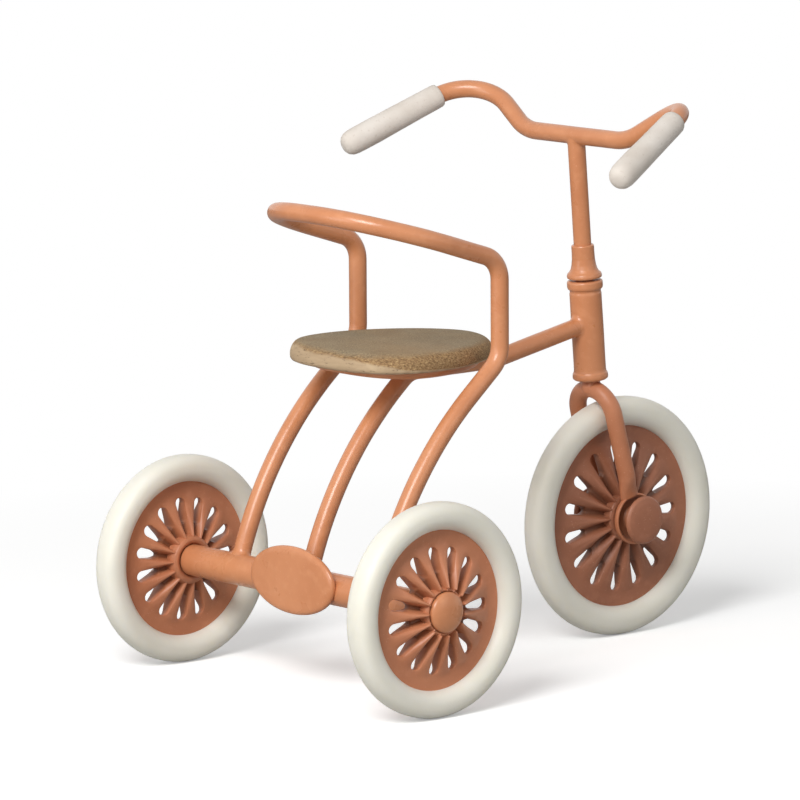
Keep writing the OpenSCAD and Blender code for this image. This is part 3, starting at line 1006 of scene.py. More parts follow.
@dataclass
class SpokedDisc:
    """A cast wheel disc: a flat band, and ribs with valleys between them that rise to the hub.

    The heights are half thicknesses over the disc's middle plane, and the crest's widths are
    shares of half a sector, at the hub and at the slots' outer ends.
    """

    rim_r: float
    slot: Teardrop
    rib_tops: tuple[float, float]
    lip_r: float
    phase: float = 0.0
    count: int = 15
    hub_r: float = 4.6
    plate: float = 0.6
    edge: float = 0.14
    rib_past: float = 0.9
    rib_slope: float = 1.05
    crest: tuple[float, float] = (0.48, 0.7)
    crest_power: float = 3.0
    floor: float = 0.18
    lip_run: float = 0.3
    lip_drop: float = 0.16
    # shade_run, valley_from, valley_run and ridge place the painted shade in the valleys and the
    # painted highlight on the crests
    shade_run: float = 3.5
    valley_from: float = 0.45
    valley_run: float = 0.4
    ridge: float = 0.16
    columns: int = 28
    close: float = 0.02

    @property
    def sector(self) -> float:
        """Half of the angle from rib to rib."""
        return math.pi / self.count

    def rows(self) -> list[float]:
        """Places the mesh's rows, close together where a slot begins or ends.

        Returns:
            The rows' radii, from the hub outwards.
        """
        low, high = self.slot.low, self.slot.high
        out = [self.lip_r + x for x in (-0.4, -0.15, 0.0, 0.08, 0.18, 0.3, 0.5)]
        start = out[-1]
        out += [start + (low - 0.15 - start) * k / 7 for k in range(1, 8)]
        out += [low + self.slot.inner_r * (1 - math.cos(a * math.pi / 12)) for a in range(7)]
        start, stop = self.slot.inner_at, self.slot.outer_at
        out += [start + (stop - start) * k / 18 for k in range(1, 18)]
        out += [stop + self.slot.outer_r * math.sin(a * math.pi / 20) for a in range(11)]
        out += [high + x for x in (0.05, 0.12, 0.22, 0.36, 0.6, 1.0, 1.6, 2.4)]
        out += [self.rim_r - 0.3, self.rim_r + 0.7]
        return out

    def height(self, radius: float, turn: float, rib_top: float) -> float:
        """Half of the disc's thickness at one point.

        Args:
            radius: Distance from the axle.
            turn: Angle from the rib's middle.
            rib_top: Height of the ribs where they meet the hub.

        Returns:
            The height over the disc's middle plane, in millimetres.
        """
        off = self.sector - abs(turn)
        gap = self.slot.distance(radius * math.cos(off), radius * math.sin(off))
        round_off = math.sqrt(max(0.0, 1 - (1 - unit(gap / self.edge)) ** 2))
        reach = unit((radius - self.hub_r) / (self.slot.high + self.rib_past - self.hub_r))
        rise = (rib_top - self.plate) * (1 - reach) ** self.rib_slope
        across = unit(abs(turn) / self.sector)
        width = self.crest[0] + (self.crest[1] - self.crest[0]) * min(1.0, 1.4 * reach)
        crest = math.exp(-(across / width) ** self.crest_power)
        floor = self.floor * (1 - reach) ** 2.0
        lip = unit((radius - self.lip_r) / self.lip_run)
        lip = 1 - self.lip_drop * (1 - lip) ** 2
        return (self.plate + rise * (floor + (1 - floor) * crest)) * round_off * lip

    def depth(self, radius: float, turn: float) -> float:
        """The painted shading of a point: painted shade between the ribs, a painted highlight on
        their crests.

        Args:
            radius: Distance from the axle.
            turn: Angle from the rib's middle.

        Returns:
            1 for full painted shade in the valleys, -1 for a full painted highlight on a crest, 0
            on the band.
        """
        across = min(1.0, abs(turn) * self.count / math.pi)
        inside = unit((self.slot.outer_at - radius) / self.shade_run)
        valley_shade = ease(unit((across - self.valley_from) / self.valley_run))
        crest = max(0.0, 1 - across / self.ridge)
        return inside * (valley_shade - crest)

    def face(self, side: int) -> bmesh.types.BMesh:
        """Makes one face of one sector, from slot to slot.

        Args:
            side: 1 for the outer face, -1 for the inner one.

        Returns:
            The open face, with its attribute of painted shading.
        """
        mesh = bmesh.new()
        layer = mesh.verts.layers.float.new(PAINTED_SHADING)
        rows = self.rows()
        bmesh.ops.create_grid(mesh, x_segments=self.columns, y_segments=len(rows) - 1, size=1.0)
        for vert in mesh.verts:
            radius = rows[round((vert.co.y + 1) / 2 * (len(rows) - 1))]
            span = self.sector - self.slot.half_angle(radius)
            turn = span * math.sin(vert.co.x * math.pi / 2)
            high = self.height(radius, turn, self.rib_tops[side > 0])
            # painted shade in the valleys and a painted highlight on the crests
            vert[layer] = self.depth(radius, turn)
            if abs(abs(vert.co.x) - 1) < ROUNDING and self.slot.low < radius < self.slot.high:
                high = 0.0
            vert.co = Vector((radius * math.cos(turn), radius * math.sin(turn), side * high)) * MM
        return mesh

    def build(self) -> bmesh.types.BMesh:
        """Makes the whole disc about Z.

        Returns:
            The disc, closed at its bore and at its rim.
        """
        mesh = join([self.face(1), self.face(-1)])
        bmesh.ops.spin(mesh, geom=list(mesh.verts) + list(mesh.edges) + list(mesh.faces),
                       cent=(0, 0, 0), axis=(0, 0, 1), angle=TAU * (self.count - 1) / self.count,
                       steps=self.count - 1, use_duplicate=True, use_merge=False)
        bmesh.ops.remove_doubles(mesh, verts=mesh.verts, dist=SEAM)
        rows = self.rows()
        for radius in (rows[0], rows[-1]):
            rim = [e for e in mesh.edges if e.is_boundary and all(
                abs(v.co.xy.length / MM - radius) < self.close for v in e.verts)]
            bmesh.ops.bridge_loops(mesh, edges=rim)
        bmesh.ops.recalc_face_normals(mesh, faces=mesh.faces)
        bmesh.ops.rotate(mesh, matrix=Matrix.Rotation(math.radians(self.phase), 3, "Z"),
                         verts=mesh.verts)
        return mesh


@dataclass
class Tyre:
    """A fat tyre, round towards the disc and a little boxy outside."""

    inner_r: float
    outer_r: float
    half_width: float
    boxy: float = 2.6
    inner_boxy: float = 2.05
    points: int = 44
    around: int = 144

    def build(self) -> bmesh.types.BMesh:
        """Makes the tyre about Z.

        Returns:
            The closed ring.
        """
        middle, half = (self.inner_r + self.outer_r) / 2, (self.outer_r - self.inner_r) / 2
        mesh = bmesh.new()
        made = bmesh.ops.create_circle(mesh, cap_ends=False, segments=self.points, radius=1.0)
        for k, vert in enumerate(made["verts"]):
            c, s = math.cos(TAU * k / self.points), math.sin(TAU * k / self.points)
            power = 2 / (self.boxy if c > 0 else self.inner_boxy)
            vert.co = Vector((middle + half * math.copysign(abs(c) ** power, c), 0,
                              self.half_width * math.copysign(abs(s) ** power, s))) * MM
        bmesh.ops.spin(mesh, geom=list(mesh.verts) + list(mesh.edges), cent=(0, 0, 0),
                       axis=(0, 0, 1), angle=TAU, steps=self.around, use_merge=True)
        bmesh.ops.remove_doubles(mesh, verts=mesh.verts, dist=SAME)
        bmesh.ops.recalc_face_normals(mesh, faces=mesh.faces)
        return mesh


@dataclass
class Wheel:
    """A spoked disc with its hub, and its tyre.

    The hub's outlines are in (radius, height) from the wheel's middle plane out.
    """

    side: str
    outward: Vector
    disc: SpokedDisc
    tyre: Tyre
    inner_hub: Outline
    outer_hub: Outline
    shade: Shade = Shade.CAST
    hub_rounds: float = 0.5
    around: int = 72

    def build(self, places: Places, finishes: Finishes) -> None:
        """Makes and dresses the disc with its hub, and the tyre.

        Args:
            places: The shared points.
            finishes: The materials.
        """
        centre, body = places.middle(f"{self.side}_tyre"), f"{self.side}_wheel_unit"
        parts = [stand(self.disc.build(), centre, self.outward)]
        for outline, way in ((self.inner_hub, -1), (self.outer_hub, 1)):
            rounds = [0.0] + [self.hub_rounds] * (len(outline) - 2) + [0.0]
            half = lathe(round_corners(outline, rounds), self.around)
            parts.append(stand(half, centre, self.outward * way))
        Piece(f"{self.side}_wheel_disc", body, "enamel", f"{self.side}_wheel").place(
            join(parts), finishes.enamel[self.shade], smooth=50)
        ring = stand(self.tyre.build(), centre, self.outward)
        Piece(f"{self.side}_soft_tyre", body, "tyre_rubber", f"{self.side}_tyre").place(
            ring, finishes.tyre, smooth=60)


@dataclass
class Wheels:
    """The three wheels and the dome caps of the rear ones."""

    places: Places
    finishes: Finishes
    bore: float = 1.26
    half_step: float = 12.0
    cap_r: float = 4.18
    cap_foot_r: float = 3.8
    cap_sunk: float = 0.04
    cap_wall: float = 0.62
    cap_h: float = 2.2
    cap_steps: int = 20
    cap_around: int = 64

    def build(self) -> None:
        """Makes all wheels."""
        for side, way, phase in (("rear_left", 1, 0.0), ("rear_right", -1, self.half_step)):
            self.rear_wheel(side, way, phase)
            self.cap(side, way)
        self.front_wheel()

    def rear_wheel(self, side: str, way: int, phase: float) -> None:
        """Makes one rear wheel.

        Args:
            side: The wheel's name, rear_left or rear_right.
            way: 1 on the left, -1 on the right.
            phase: How far the disc is turned about its axle, in degrees.
        """
        inner = ((self.bore, 0), (self.bore, 2.62), (3.37, 2.62), (3.4, 3.0), (3.75, 3.42),
                 (4.3, 3.6), (4.9, 3.3), (5.25, 2.3), (5.3, 0))
        outer = ((self.bore, 0), (self.bore, 2.8), (4.22, 2.8), (4.24, 3.15), (4.48, 3.3),
                 (4.74, 3.15), (5.0, 2.5), (5.2, 0))
        slot = Teardrop(inner_at=8.45, inner_r=0.82, outer_at=11.85, outer_r=1.15)
        disc = SpokedDisc(rim_r=16.4, slot=slot, rib_tops=(3.3, 4.05), lip_r=4.75, phase=phase)
        tyre = Tyre(inner_r=16.3, outer_r=22.0, half_width=3.2)
        Wheel(side, sideways(way), disc, tyre, inner, outer).build(self.places, self.finishes)

    def front_wheel(self) -> None:
        """Makes the front wheel."""
        hub = ((self.bore, 0), (self.bore, 4.28), (2.5, 4.28), (2.5, 3.2), (4.4, 3.28),
               (5.1, 2.9), (5.3, 0))
        slot = Teardrop(inner_at=11.4, inner_r=0.82, outer_at=14.95, outer_r=1.18)
        disc = SpokedDisc(rim_r=19.6, slot=slot, rib_tops=(3.2, 3.2), lip_r=4.75,
                          phase=self.half_step)
        tyre = Tyre(inner_r=19.5, outer_r=25.8, half_width=3.0)
        Wheel("front", sideways(-1), disc, tyre, hub, hub, Shade.DEEP).build(
            self.places, self.finishes)

    def cap(self, side: str, way: int) -> None:
        """Makes one dome cap on a rear axle end.

        Args:
            side: The wheel's name, rear_left or rear_right.
            way: 1 on the left, -1 on the right.
        """
        low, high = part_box(f"{side}_cap")
        base = Vector((self.places.rear.x, low.y if way > 0 else high.y, self.places.rear.z))
        turns = [k * math.pi / (2 * self.cap_steps) for k in range(self.cap_steps)]
        dome = [(self.cap_r * math.cos(a) ** 0.9,
                 self.cap_wall + (self.cap_h - self.cap_wall) * math.sin(a)) for a in turns]
        profile = [(0, -self.cap_sunk), (self.cap_foot_r, -self.cap_sunk), (4.12, 0.1), *dome,
                   (0, self.cap_h)]
        Piece(f"{side}_dome_cap", "frame", "enamel", f"{side}_cap").place(
            stand(lathe(profile, self.cap_around), base, sideways(way)),
            self.finishes.enamel[Shade.BODY], smooth=60)


# ---------------------------------------------------------------- frame

@dataclass
class RodFrame:
    """The welded frame: axle tube, one long bent side rod, middle rod, head tube and badge.

    Points are (ahead of the rear axle, above the ground). Leans are in degrees from upright,
    and all else is in millimetres.
    """

    places: Places
    finishes: Finishes
    rod: float = 1.88
    tube: float = 3.3
    tube_bore: float = 1.24
    tube_round: float = 0.55
    tube_around: int = 64
    half: float = 22.3
    knee: tuple[float, float] = (33.75, 67.7)
    arm_front: float = 88.1
    arm_back: tuple[float, float] = (0.8, 98.49)
    foot_x: float = 0.4
    foot_lean: float = 17.5
    leg_lean: float = 50.0
    leg_bend: float = 78.0
    knee_bend: float = 6.0
    arm_bend: float = 5.5
    back_bend: float = 20.5
    under_seat: float = 63.17
    neck_x: float = 52.0
    neck_bend: float = 30.0
    neck_top: float = 68.4
    barrel: float = 3.45
    head_bore: float = 1.98
    head_long: float = 21.6
    head_around: int = 72
    badge_around: int = 96

    def lean(self, degrees: float) -> Vector:
        """The direction of a leg at a lean from upright, in the XZ plane."""
        return Vector((math.sin(math.radians(degrees)), 0, math.cos(math.radians(degrees))))

    def leg(self, y: float) -> tuple[Vector, Vector, Vector]:
        """Finds the corners of a leg.

        Args:
            y: The leg's place across the frame.

        Returns:
            The foot, the sweep's corner and the knee.
        """
        foot = self.places.at(self.foot_x, y, self.places.rear.z / MM)
        knee = self.places.at(self.knee[0], y, self.knee[1])
        low, high, gap = self.lean(self.foot_lean), self.lean(self.leg_lean), knee - foot
        reach = (gap.x * high.z - gap.z * high.x) / (low.x * high.z - low.z * high.x)
        return foot, foot + low * reach, knee

    def axle(self) -> Round:
        """The axle tube as a surface to weld to."""
        return Round(self.places.rear, sideways(), self.tube * MM)

    def build(self) -> None:
        """Makes all pieces of the frame."""
        self.axle_tube()
        self.side_rod()
        self.middle_rod()
        self.head_tube()
        self.badge()

    def axle_tube(self) -> None:
        """Makes the tube across the back, with rounded ends."""
        low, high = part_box("rear_axle_tube")
        half = (high.y - low.y) / 2 / MM
        corners = [(self.tube_bore, -half), (self.tube, -half), (self.tube, half),
                   (self.tube_bore, half)]
        outline = round_corners(corners, [0, self.tube_round, self.tube_round, 0])
        mesh = lathe(outline + corners[:1], self.tube_around)
        Piece("enamelled_axle_tube", "frame", "enamel", "rear_axle_tube").place(
            stand(mesh, self.places.rear, sideways()), self.finishes.enamel[Shade.BODY], smooth=40)

    def side_rod(self) -> None:
        """Makes the long rod: leg, upright, arms round the back, upright, leg."""
        left, right = ([*self.leg(y), self.places.at(self.knee[0], y, self.arm_front),
                        self.places.at(self.arm_back[0], y, self.arm_back[1])]
                       for y in (self.half, -self.half))
        bends = [self.leg_bend, self.knee_bend, self.arm_bend, self.back_bend]
        rod = BentRod(left + right[::-1], bends + bends[::-1], self.rod)
        Piece("side_and_arm_rod", "frame", "enamel", "side_loop").place(
            rod.build(self.axle(), self.axle()), self.finishes.enamel[Shade.BODY], smooth=60)

    def middle_rod(self) -> None:
        """Makes the rod from the axle tube, under the seat, to the head tube."""
        foot, corner, knee = self.leg(0)
        down = self.lean(self.leg_lean)
        level = knee - down * ((self.knee[1] - self.under_seat) * MM / down.z)
        rise = self.places.at(self.neck_x, 0, self.under_seat)
        climb = self.neck_top * MM - self.places.pivot.z
        top = self.places.pivot + self.places.axis * (climb / self.places.axis.z)
        rod = BentRod([foot, corner, level, rise, top],
                      [self.leg_bend, self.knee_bend, self.neck_bend], self.rod)
        barrel = Round(self.places.pivot, self.places.axis, self.barrel * MM)
        Piece("middle_rod", "frame", "enamel", "centre_spine").place(
            rod.build(self.axle(), barrel), self.finishes.enamel[Shade.BODY], smooth=60)

    def head_tube(self) -> None:
        """Makes the head tube with a rolled bead at each end."""
        foot, top = (self.head_bore, 0), (self.head_bore, self.head_long)
        outline = [foot, (3.35, 0), (3.78, 0.35), (3.8, 0.85), (3.72, 1.45), (3.5, 1.75),
                   (3.43, 2.3), (3.42, 5), (3.45, 10.8), (3.42, 16), (3.42, 18.7), (3.3, 19.2),
                   (3.38, 19.55), (3.72, 19.85), (3.82, 20.3), (3.82, 21.1), (3.72, 21.5),
                   (3.3, self.head_long), top]
        rounds = [0, 0.5, 0.4, 0.4, 0.4, 0.5, 0.8, 1, 2, 1, 0.4, 0.3, 0.3, 0.3, 0.3, 0.3, 0.4,
                  0.4, 0]
        mesh = lathe(round_corners(outline, rounds, steps=3) + [foot], self.head_around)
        Piece("beaded_head_tube", "frame", "enamel", "head_tube").place(
            stand(mesh, self.places.pivot, self.places.axis), self.finishes.enamel[Shade.BODY],
            smooth=45)

    def badge(self) -> None:
        """Makes the bare oval plate on the back of the axle tube."""
        low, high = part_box("badge_plate")
        middle = (low + high) / 2
        thick, wide, tall = (high.x - low.x) / MM, (high.y - low.y) / 2 / MM, \
            (high.z - low.z) / 2 / MM
        loft = Loft(self.badge_around)
        edge = ((0.9, 0.0), (0.35, 0.04), (0.08, 0.3), (0.0, 0.62), (0.1, 0.95), (0.38, 1.22),
                (0.85, 1.38), (1.6, 1.44), (3.0, 1.47), (4.6, 1.49), (6.4, 1.5))
        turns = [TAU * k / self.badge_around for k in range(self.badge_around)]
        for inset, rise in edge:
            x = high.x - rise / edge[-1][1] * thick * MM
            loft.ring([Vector((x, middle.y + (wide - inset) * MM * math.cos(a),
                               middle.z + (tall - inset) * MM * math.sin(a))) for a in turns])
        loft.cap()
        Piece("oval_badge", "frame", "enamel", "badge_plate").place(
            loft.close(), self.finishes.enamel[Shade.BODY], smooth=60)


# ---------------------------------------------------------------- seat

@dataclass
class Seat:
    """The wooden board with hand-rounded edges, on its thin metal pan."""

    places: Places
    finishes: Finishes
    wide_x: float = 22.0
    tail: float = 17.2
    nose: float = 26.0
    half_w: float = 19.7
    tail_power: float = 2.6
    nose_power: float = 1.7
    top: float = 70.0
    thick: float = 4.0
    top_inset: float = 6.0
    crown_power: float = 0.94
    wear_mean: float = 2.7
    wear_left: float = 1.6
    wear_tail: float = 1.6
    wear_nose: float = 0.9
    pan: float = 1.6
    pan_back: float = 2.5
    points: int = 144

    def outline(self, inset: float, back: float = 0.0) -> list[tuple[float, float, float]]:
        """Works out the board's outline, pointed at the nose and blunt at the tail.

        Args:
            inset: How far it is moved inwards.
            back: How much shorter it is at the tail.

        Returns:
            Points of (x, y), each with its angle.
        """
        out = []
        for k in range(self.points):
            a = TAU * k / self.points
            c, s = math.cos(a), math.sin(a)
            power = self.nose_power if c > 0 else self.tail_power
            reach = self.nose if c > 0 else self.tail - back
            x = (reach - inset) * math.copysign(abs(c) ** (2 / power), c)
            y = (self.half_w - inset) * math.copysign(abs(s) ** (2 / power), s)
            out.append((self.wide_x + x, y, a))
        return out

    def wear(self, angle: float) -> float:
        """How widely the top edge is rounded, most at the tail and least on the left.

        Args:
            angle: The place round the board, from the nose to the left.

        Returns:
            The width of the rounding in millimetres.
        """
        tail, nose = max(0.0, -math.cos(angle - 0.35)), max(0.0, math.cos(angle + 0.3))
        left = max(0.0, math.sin(angle))
        return (self.wear_mean - self.wear_left * left ** 0.8 + self.wear_tail * tail ** 1.6
                + self.wear_nose * nose ** 3)

    def worn(self, share: float) -> list[tuple[float, float]]:
        """Draws the outline in by a share of its wear.

        Args:
            share: 0 at the edge's foot, 1 on the flat top.

        Returns:
            Points of (x, y).
        """
        out = []
        for (x, y, a), (ix, iy, _) in zip(self.outline(0), self.outline(self.top_inset)):
            pull = self.wear(a) * share / self.top_inset
            out.append((x + (ix - x) * pull, y + (iy - y) * pull))
        return out

    def board(self) -> None:
        """Makes the board: lower edge, side, rounded top edge, flat top."""
        loft = Loft(self.points)
        base = self.top - self.thick
        low = ((1.6, 0.0), (0.8, 0.04), (0.3, 0.25), (0.08, 0.6), (0.0, 1.0), (0.0, 1.3))
        for inset, rise in low:
            loft.ring([self.places.at(x, y, base + rise) for x, y, _ in self.outline(inset)])
        side_top = base + low[-1][1]
        crown = self.thick - low[-1][1]
        for t in (0.1, 0.2, 0.3, 0.4, 0.5, 0.6, 0.7, 0.8, 0.88, 0.95, 1.0):
            turn = t * math.pi / 2
            z = side_top + crown * math.sin(turn) ** self.crown_power
            loft.ring([self.places.at(x, y, z) for x, y in self.worn(1 - math.cos(turn))])
        flat = [(x - self.wide_x, y) for x, y in self.worn(1)]
        for shrink in (0.9, 0.75, 0.55, 0.35, 0.15):
            loft.ring([self.places.at(self.wide_x + x * shrink, y * shrink, self.top)
                       for x, y in flat])
        loft.cap()
        Piece("wooden_board", "frame", "seat_wood", "wooden_seat").place(
            loft.close(), self.finishes.wood, smooth=60)

    def sheet(self) -> None:
        """Makes the pan with its rounded rim."""
        loft = Loft(self.points)
        base = self.top - self.thick - self.pan
        for inset, rise in ((7.0, 0.02), (3.6, 0.02), (3.25, 0.1), (3.0, 0.35), (2.92, 0.8),
                            (2.96, 1.3), (3.1, 1.55), (3.7, 1.58), (7.0, 1.58)):
            loft.ring([self.places.at(x, y, base + rise)
                       for x, y, _ in self.outline(inset, self.pan_back)])
        loft.cap()
        Piece("pressed_pan", "frame", "enamel", "seat_pan").place(
            loft.close(), self.finishes.enamel[Shade.BODY], smooth=50)

    def build(self) -> None:
        """Makes the board and the pan."""
        self.board()
        self.sheet()


# ---------------------------------------------------------------- steering

@dataclass
class Steering:
    """Everything that turns in the head tube: collar, stem, bar, grips, fork and its buttons.

    Points and heights are in millimetres in the steering axis's own frame: ahead, left, up.
    """

    places: Places
    finishes: Finishes
    body: str = "steering_column"
    rod: float = 1.88
    collar_v: float = 22.1
    collar_bore: float = 1.92
    stem_v: float = 26.0
    bar_v: float = 52.7
    bar_bends: tuple[float, ...] = (10.5, 12.0, 12.0, 10.5)
    bar_dip_y: float = 15.8
    bar_corner: tuple[float, float, float] = (4.5, 34.0, 10.5)
    grip_end: tuple[float, float, float] = (-25.8, 42.0, -0.6)
    grip_long: float = 22.0
    grip_waves: float = 170.0
    grip_swell: float = 0.07
    grip_shift: float = 3.0
    grip_skin_r: float = 2.0
    bar_in_grip: float = 16.0
    crown_v: float = -2.08
    fork_half: float = 5.5
    fork_stop: float = 5.2
    fork_step: float = 0.6
    arch_flat: float = 0.01
    eye_y: float = 5.0
    eye_bore: float = 1.23
    # The cup's fields below place the painted shade inside each fork eye.
    cup: tuple[float, float] = (1.5, 4.95)
    cup_rim: float = 0.55
    cup_fall: float = 0.5
    cup_shade: float = 0.8
    press_from: float = 10.5
    press_run: float = 5.0
    thinner: float = 0.42
    wider: float = 0.24
    button_y: float = 5.6
    button_bore: float = 1.24
    around: int = 64
    grip_around: int = 56
    weld_around: int = 48
    eye_around: int = 72

    def build(self) -> None:
        """Makes all pieces of the steering column."""
        self.collar()
        self.bar()
        for side, way in (("left", 1), ("right", -1)):
            self.grip(side, way)
            self.button(side, way)
        self.fork()

    def collar(self) -> None:
        """Makes the flared sleeve over the head tube."""
        outline = [(self.collar_bore, 0), (3.0, 0.0), (3.66, 0.03), (3.76, 0.45), (3.6, 1.0),
                   (3.2, 1.35), (2.85, 1.9), (2.62, 2.8), (2.46, 4.0), (2.42, 5.5), (2.42, 6.85),
                   (2.3, 7.08), (self.collar_bore, 7.1)]
        rounds = [0, 0.2, 0.12, 0.3, 0.3, 0.4, 0.6, 0.8, 1, 0.5, 0.12, 0.08, 0]
        mesh = lathe(round_corners(outline, rounds, steps=4) + outline[:1], self.around)
        base = self.places.steer(0, 0, self.collar_v)
        Piece("flared_collar", self.body, "enamel", "steering_collar").place(
            stand(mesh, base, self.places.axis), self.finishes.enamel[Shade.BODY], smooth=40)

    def bar_line(self) -> list[Vector]:
        """Finds the corner points of the handlebar.

        Returns:
            The points from the left bar end to the right one.
        """
        mouth, end = self.grip_ends()
        tip = mouth + (end - mouth).normalized() * self.bar_in_grip
        left = [tip, self.over_bar(self.bar_corner), Vector((0, self.bar_dip_y, self.bar_v))]
        right = [Vector((p.x, -p.y, p.z)) for p in reversed(left)]
        return [self.places.steer(*p) for p in left + right]

    def over_bar(self, point: tuple[float, float, float]) -> Vector:
        """A point whose height counts from the bar's middle."""
        return Vector((point[0], point[1], self.bar_v + point[2]))

    def grip_ends(self) -> tuple[Vector, Vector]:
        """Finds the ends of the left grip.

        Returns:
            The mouth and the round end's centre, in the steering frame.
        """
        corner, end = self.over_bar(self.bar_corner), self.over_bar(self.grip_end)
        heading = (end - corner).normalized()
        return end - heading * self.grip_long, end

    def bar(self) -> None:
        """Makes the handlebar and the stem that carries it."""
        enamel = self.finishes.enamel[Shade.BODY]
        rod = BentRod(self.bar_line(), self.bar_bends, self.rod)
        Piece("bent_handlebar", self.body, "enamel", "handlebar").place(
            rod.build(), enamel, smooth=60)
        top = self.places.steer(0, 0, self.bar_v)
        stem = BentRod([self.places.steer(0, 0, self.stem_v), top], [], self.rod)
        cross = Round(top, sideways(), self.rod * MM)
        Piece("stem_rod", self.body, "enamel", "handlebar_stem").place(
            stem.build(None, cross, lift=1.0, spread=0.9), enamel, smooth=60)

    def grip(self, side: str, way: int) -> None:
        """Makes one grip: a sleeve with a soft mouth and a round end.

        Args:
            side: left or right.
            way: 1 on the left, -1 on the right.
        """
        mouth, end = (self.places.steer(p.x, p.y * way, p.z) for p in self.grip_ends())
        outline = ((1.9, 0.6), (1.96, 0.12), (2.2, 0.0), (2.46, 0.12), (2.58, 0.5), (2.62, 1.6),
                   (2.66, 6), (2.72, 12), (2.8, 17), (2.83, 20.5), (2.78, 22.2), (2.55, 23.4),
                   (2.1, 24.15), (1.5, 24.6), (0.8, 24.8), (0, 24.85))
        mesh = lathe(outline, self.grip_around)
        for vert in mesh.verts:
            place = vert.co * self.grip_waves + Vector((way * self.grip_shift, 0, 0))
            size = vert.co.xy.length
            if size > self.grip_skin_r * MM:
                vert.co.xy *= 1 + noise.noise(place) * self.grip_swell * MM / size
        fill_holes(mesh)
        Piece(f"{side}_coated_grip", self.body, "grip_plastic", f"{side}_grip").place(
            stand(mesh, mouth, (end - mouth).normalized()), self.finishes.grip, smooth=60)

    def fork_rod(self, crown: Vector) -> bmesh.types.BMesh:
        """Makes the fork's rod, bent over the wheel and pressed flat at its ends.

        Args:
            crown: The middle of the bend's two corners.

        Returns:
            The closed rod.
        """
        axle, half, side = self.places.front, self.fork_half, sideways()
        down = (axle - crown).normalized()
        start = axle - down * self.fork_stop * MM + side * half * MM
        corners = [start, crown + side * half * MM, crown - side * half * MM,
                   start - side * 2 * half * MM]
        bends = [half - self.arch_flat] * 2
        mesh = BentRod(corners, bends, self.rod, step=self.fork_step).build()
        flat = side.cross(down)
        for vert in mesh.verts:
            way = 1 if vert.co.y > 0 else -1
            near = (vert.co - axle).dot(-down) / MM
            press = ease(unit((self.press_from - near) / self.press_run))
            centre_y = way * (half + (self.eye_y - half) * press) * MM
            off = vert.co.y - way * half * MM
            wide = (vert.co - axle).dot(flat)
            vert.co.y = centre_y + off * (1 - self.thinner * press)
            vert.co += flat * wide * self.wider * press
        return mesh

    def eye(self, way: int) -> bmesh.types.BMesh:
        """Makes one eye of the fork, a cup with a rim and painted shade on its inside.

        Args:
            way: 1 on the left, -1 on the right.

        Returns:
            The closed eye, with its attribute of painted shading.
        """
        foot = (self.eye_bore, -0.6)
        corners = [foot, (5.2, -0.6), (5.55, 0.0), (5.55, 0.7), (5.15, 0.8), (4.85, 0.4),
                   (4.3, -0.2), (2.9, -0.2), (2.6, 0.58), (self.eye_bore, 0.58)]
        rounds = [0, 0.3, 0.4, 0.2, 0.2, 0.3, 0.4, 0.2, 0.1, 0]
        mesh = lathe(round_corners(corners, rounds, steps=6) + [foot], self.eye_around)
        layer = mesh.verts.layers.float.new(PAINTED_SHADING)
        # Painted shade on the cup's sunken floor, where the button casts shade.
        for vert in mesh.verts:
            sunk = unit((self.cup_rim - vert.co.z / MM) / self.cup_fall)
            inside = self.cup[0] < vert.co.xy.length / MM < self.cup[1]
            vert[layer] = self.cup_shade * sunk if inside else 0.0
        side = sideways()
        return stand(mesh, self.places.front + side * way * self.eye_y * MM, side * way)

    def fork(self) -> None:
        """Makes the fork: one bent rod with a round eye at each end, welded to the steerer."""
        crown = self.places.steer(0, 0, self.crown_v)
        fillet = ((1.86, 1.9), (1.96, 1.6), (2.12, 1.1), (2.3, 0.5), (2.0, -0.6), (1.86, -0.6),
                  (1.86, 1.9))
        weld = stand(lathe(fillet, self.weld_around), crown, self.places.axis)
        Piece("bent_fork", self.body, "enamel", "fork").place(
            join([self.fork_rod(crown), weld, self.eye(1), self.eye(-1)]),
            self.finishes.enamel[Shade.CAST], smooth=50)

    def button(self, side: str, way: int) -> None:
        """Makes the button on one end of the front axle.

        Args:
            side: left or right.
            way: 1 on the left, -1 on the right.
        """
        outline = ((self.button_bore, 0.02), (2.75, 0.02), (2.4, 0.5), (2.4, 1.7), (4.7, 1.92),
                   (5.2, 2.4), (5.2, 2.75), (4.75, 3.22), (3.6, 3.46), (2.2, 3.6), (0, 3.68))
        rounds = [0, 0.1, 0.3, 0.2, 0.3, 0.4, 0.35, 0.5, 1, 1, 0]
        mesh = lathe(round_corners(outline, rounds, steps=4), self.around)
        fill_holes(mesh)
        base = self.places.front + Vector((0, way * self.button_y * MM, 0))
        Piece(f"front_{side}_axle_button", self.body, "enamel", f"front_{side}_button").place(
            stand(mesh, base, sideways(way)), self.finishes.enamel[Shade.DEEP], smooth=45)


# ---------------------------------------------------------------- studio

@dataclass(frozen=True)
class Lamp:
    """A soft round lamp: its place and its size in metres, and its power in watts."""

    name: str
    spot: tuple[float, float, float]
    size: float
    power: float
    aim_z: float = 0.055

    def hang(self) -> None:
        """Hangs the lamp and aims it at the object's middle."""
        data = bpy.data.lights.new(self.name, "AREA")
        data.shape = "DISK"
        data.size = self.size
        data.energy = self.power
        lamp = bpy.data.objects.new(self.name, data)
        lamp.location = self.spot
        lamp.visible_camera = False
        aim = Vector((0, 0, self.aim_z)) - Vector(self.spot)
        lamp.rotation_euler = aim.to_track_quat("-Z", "Y").to_euler()
        bpy.context.scene.collection.objects.link(lamp)


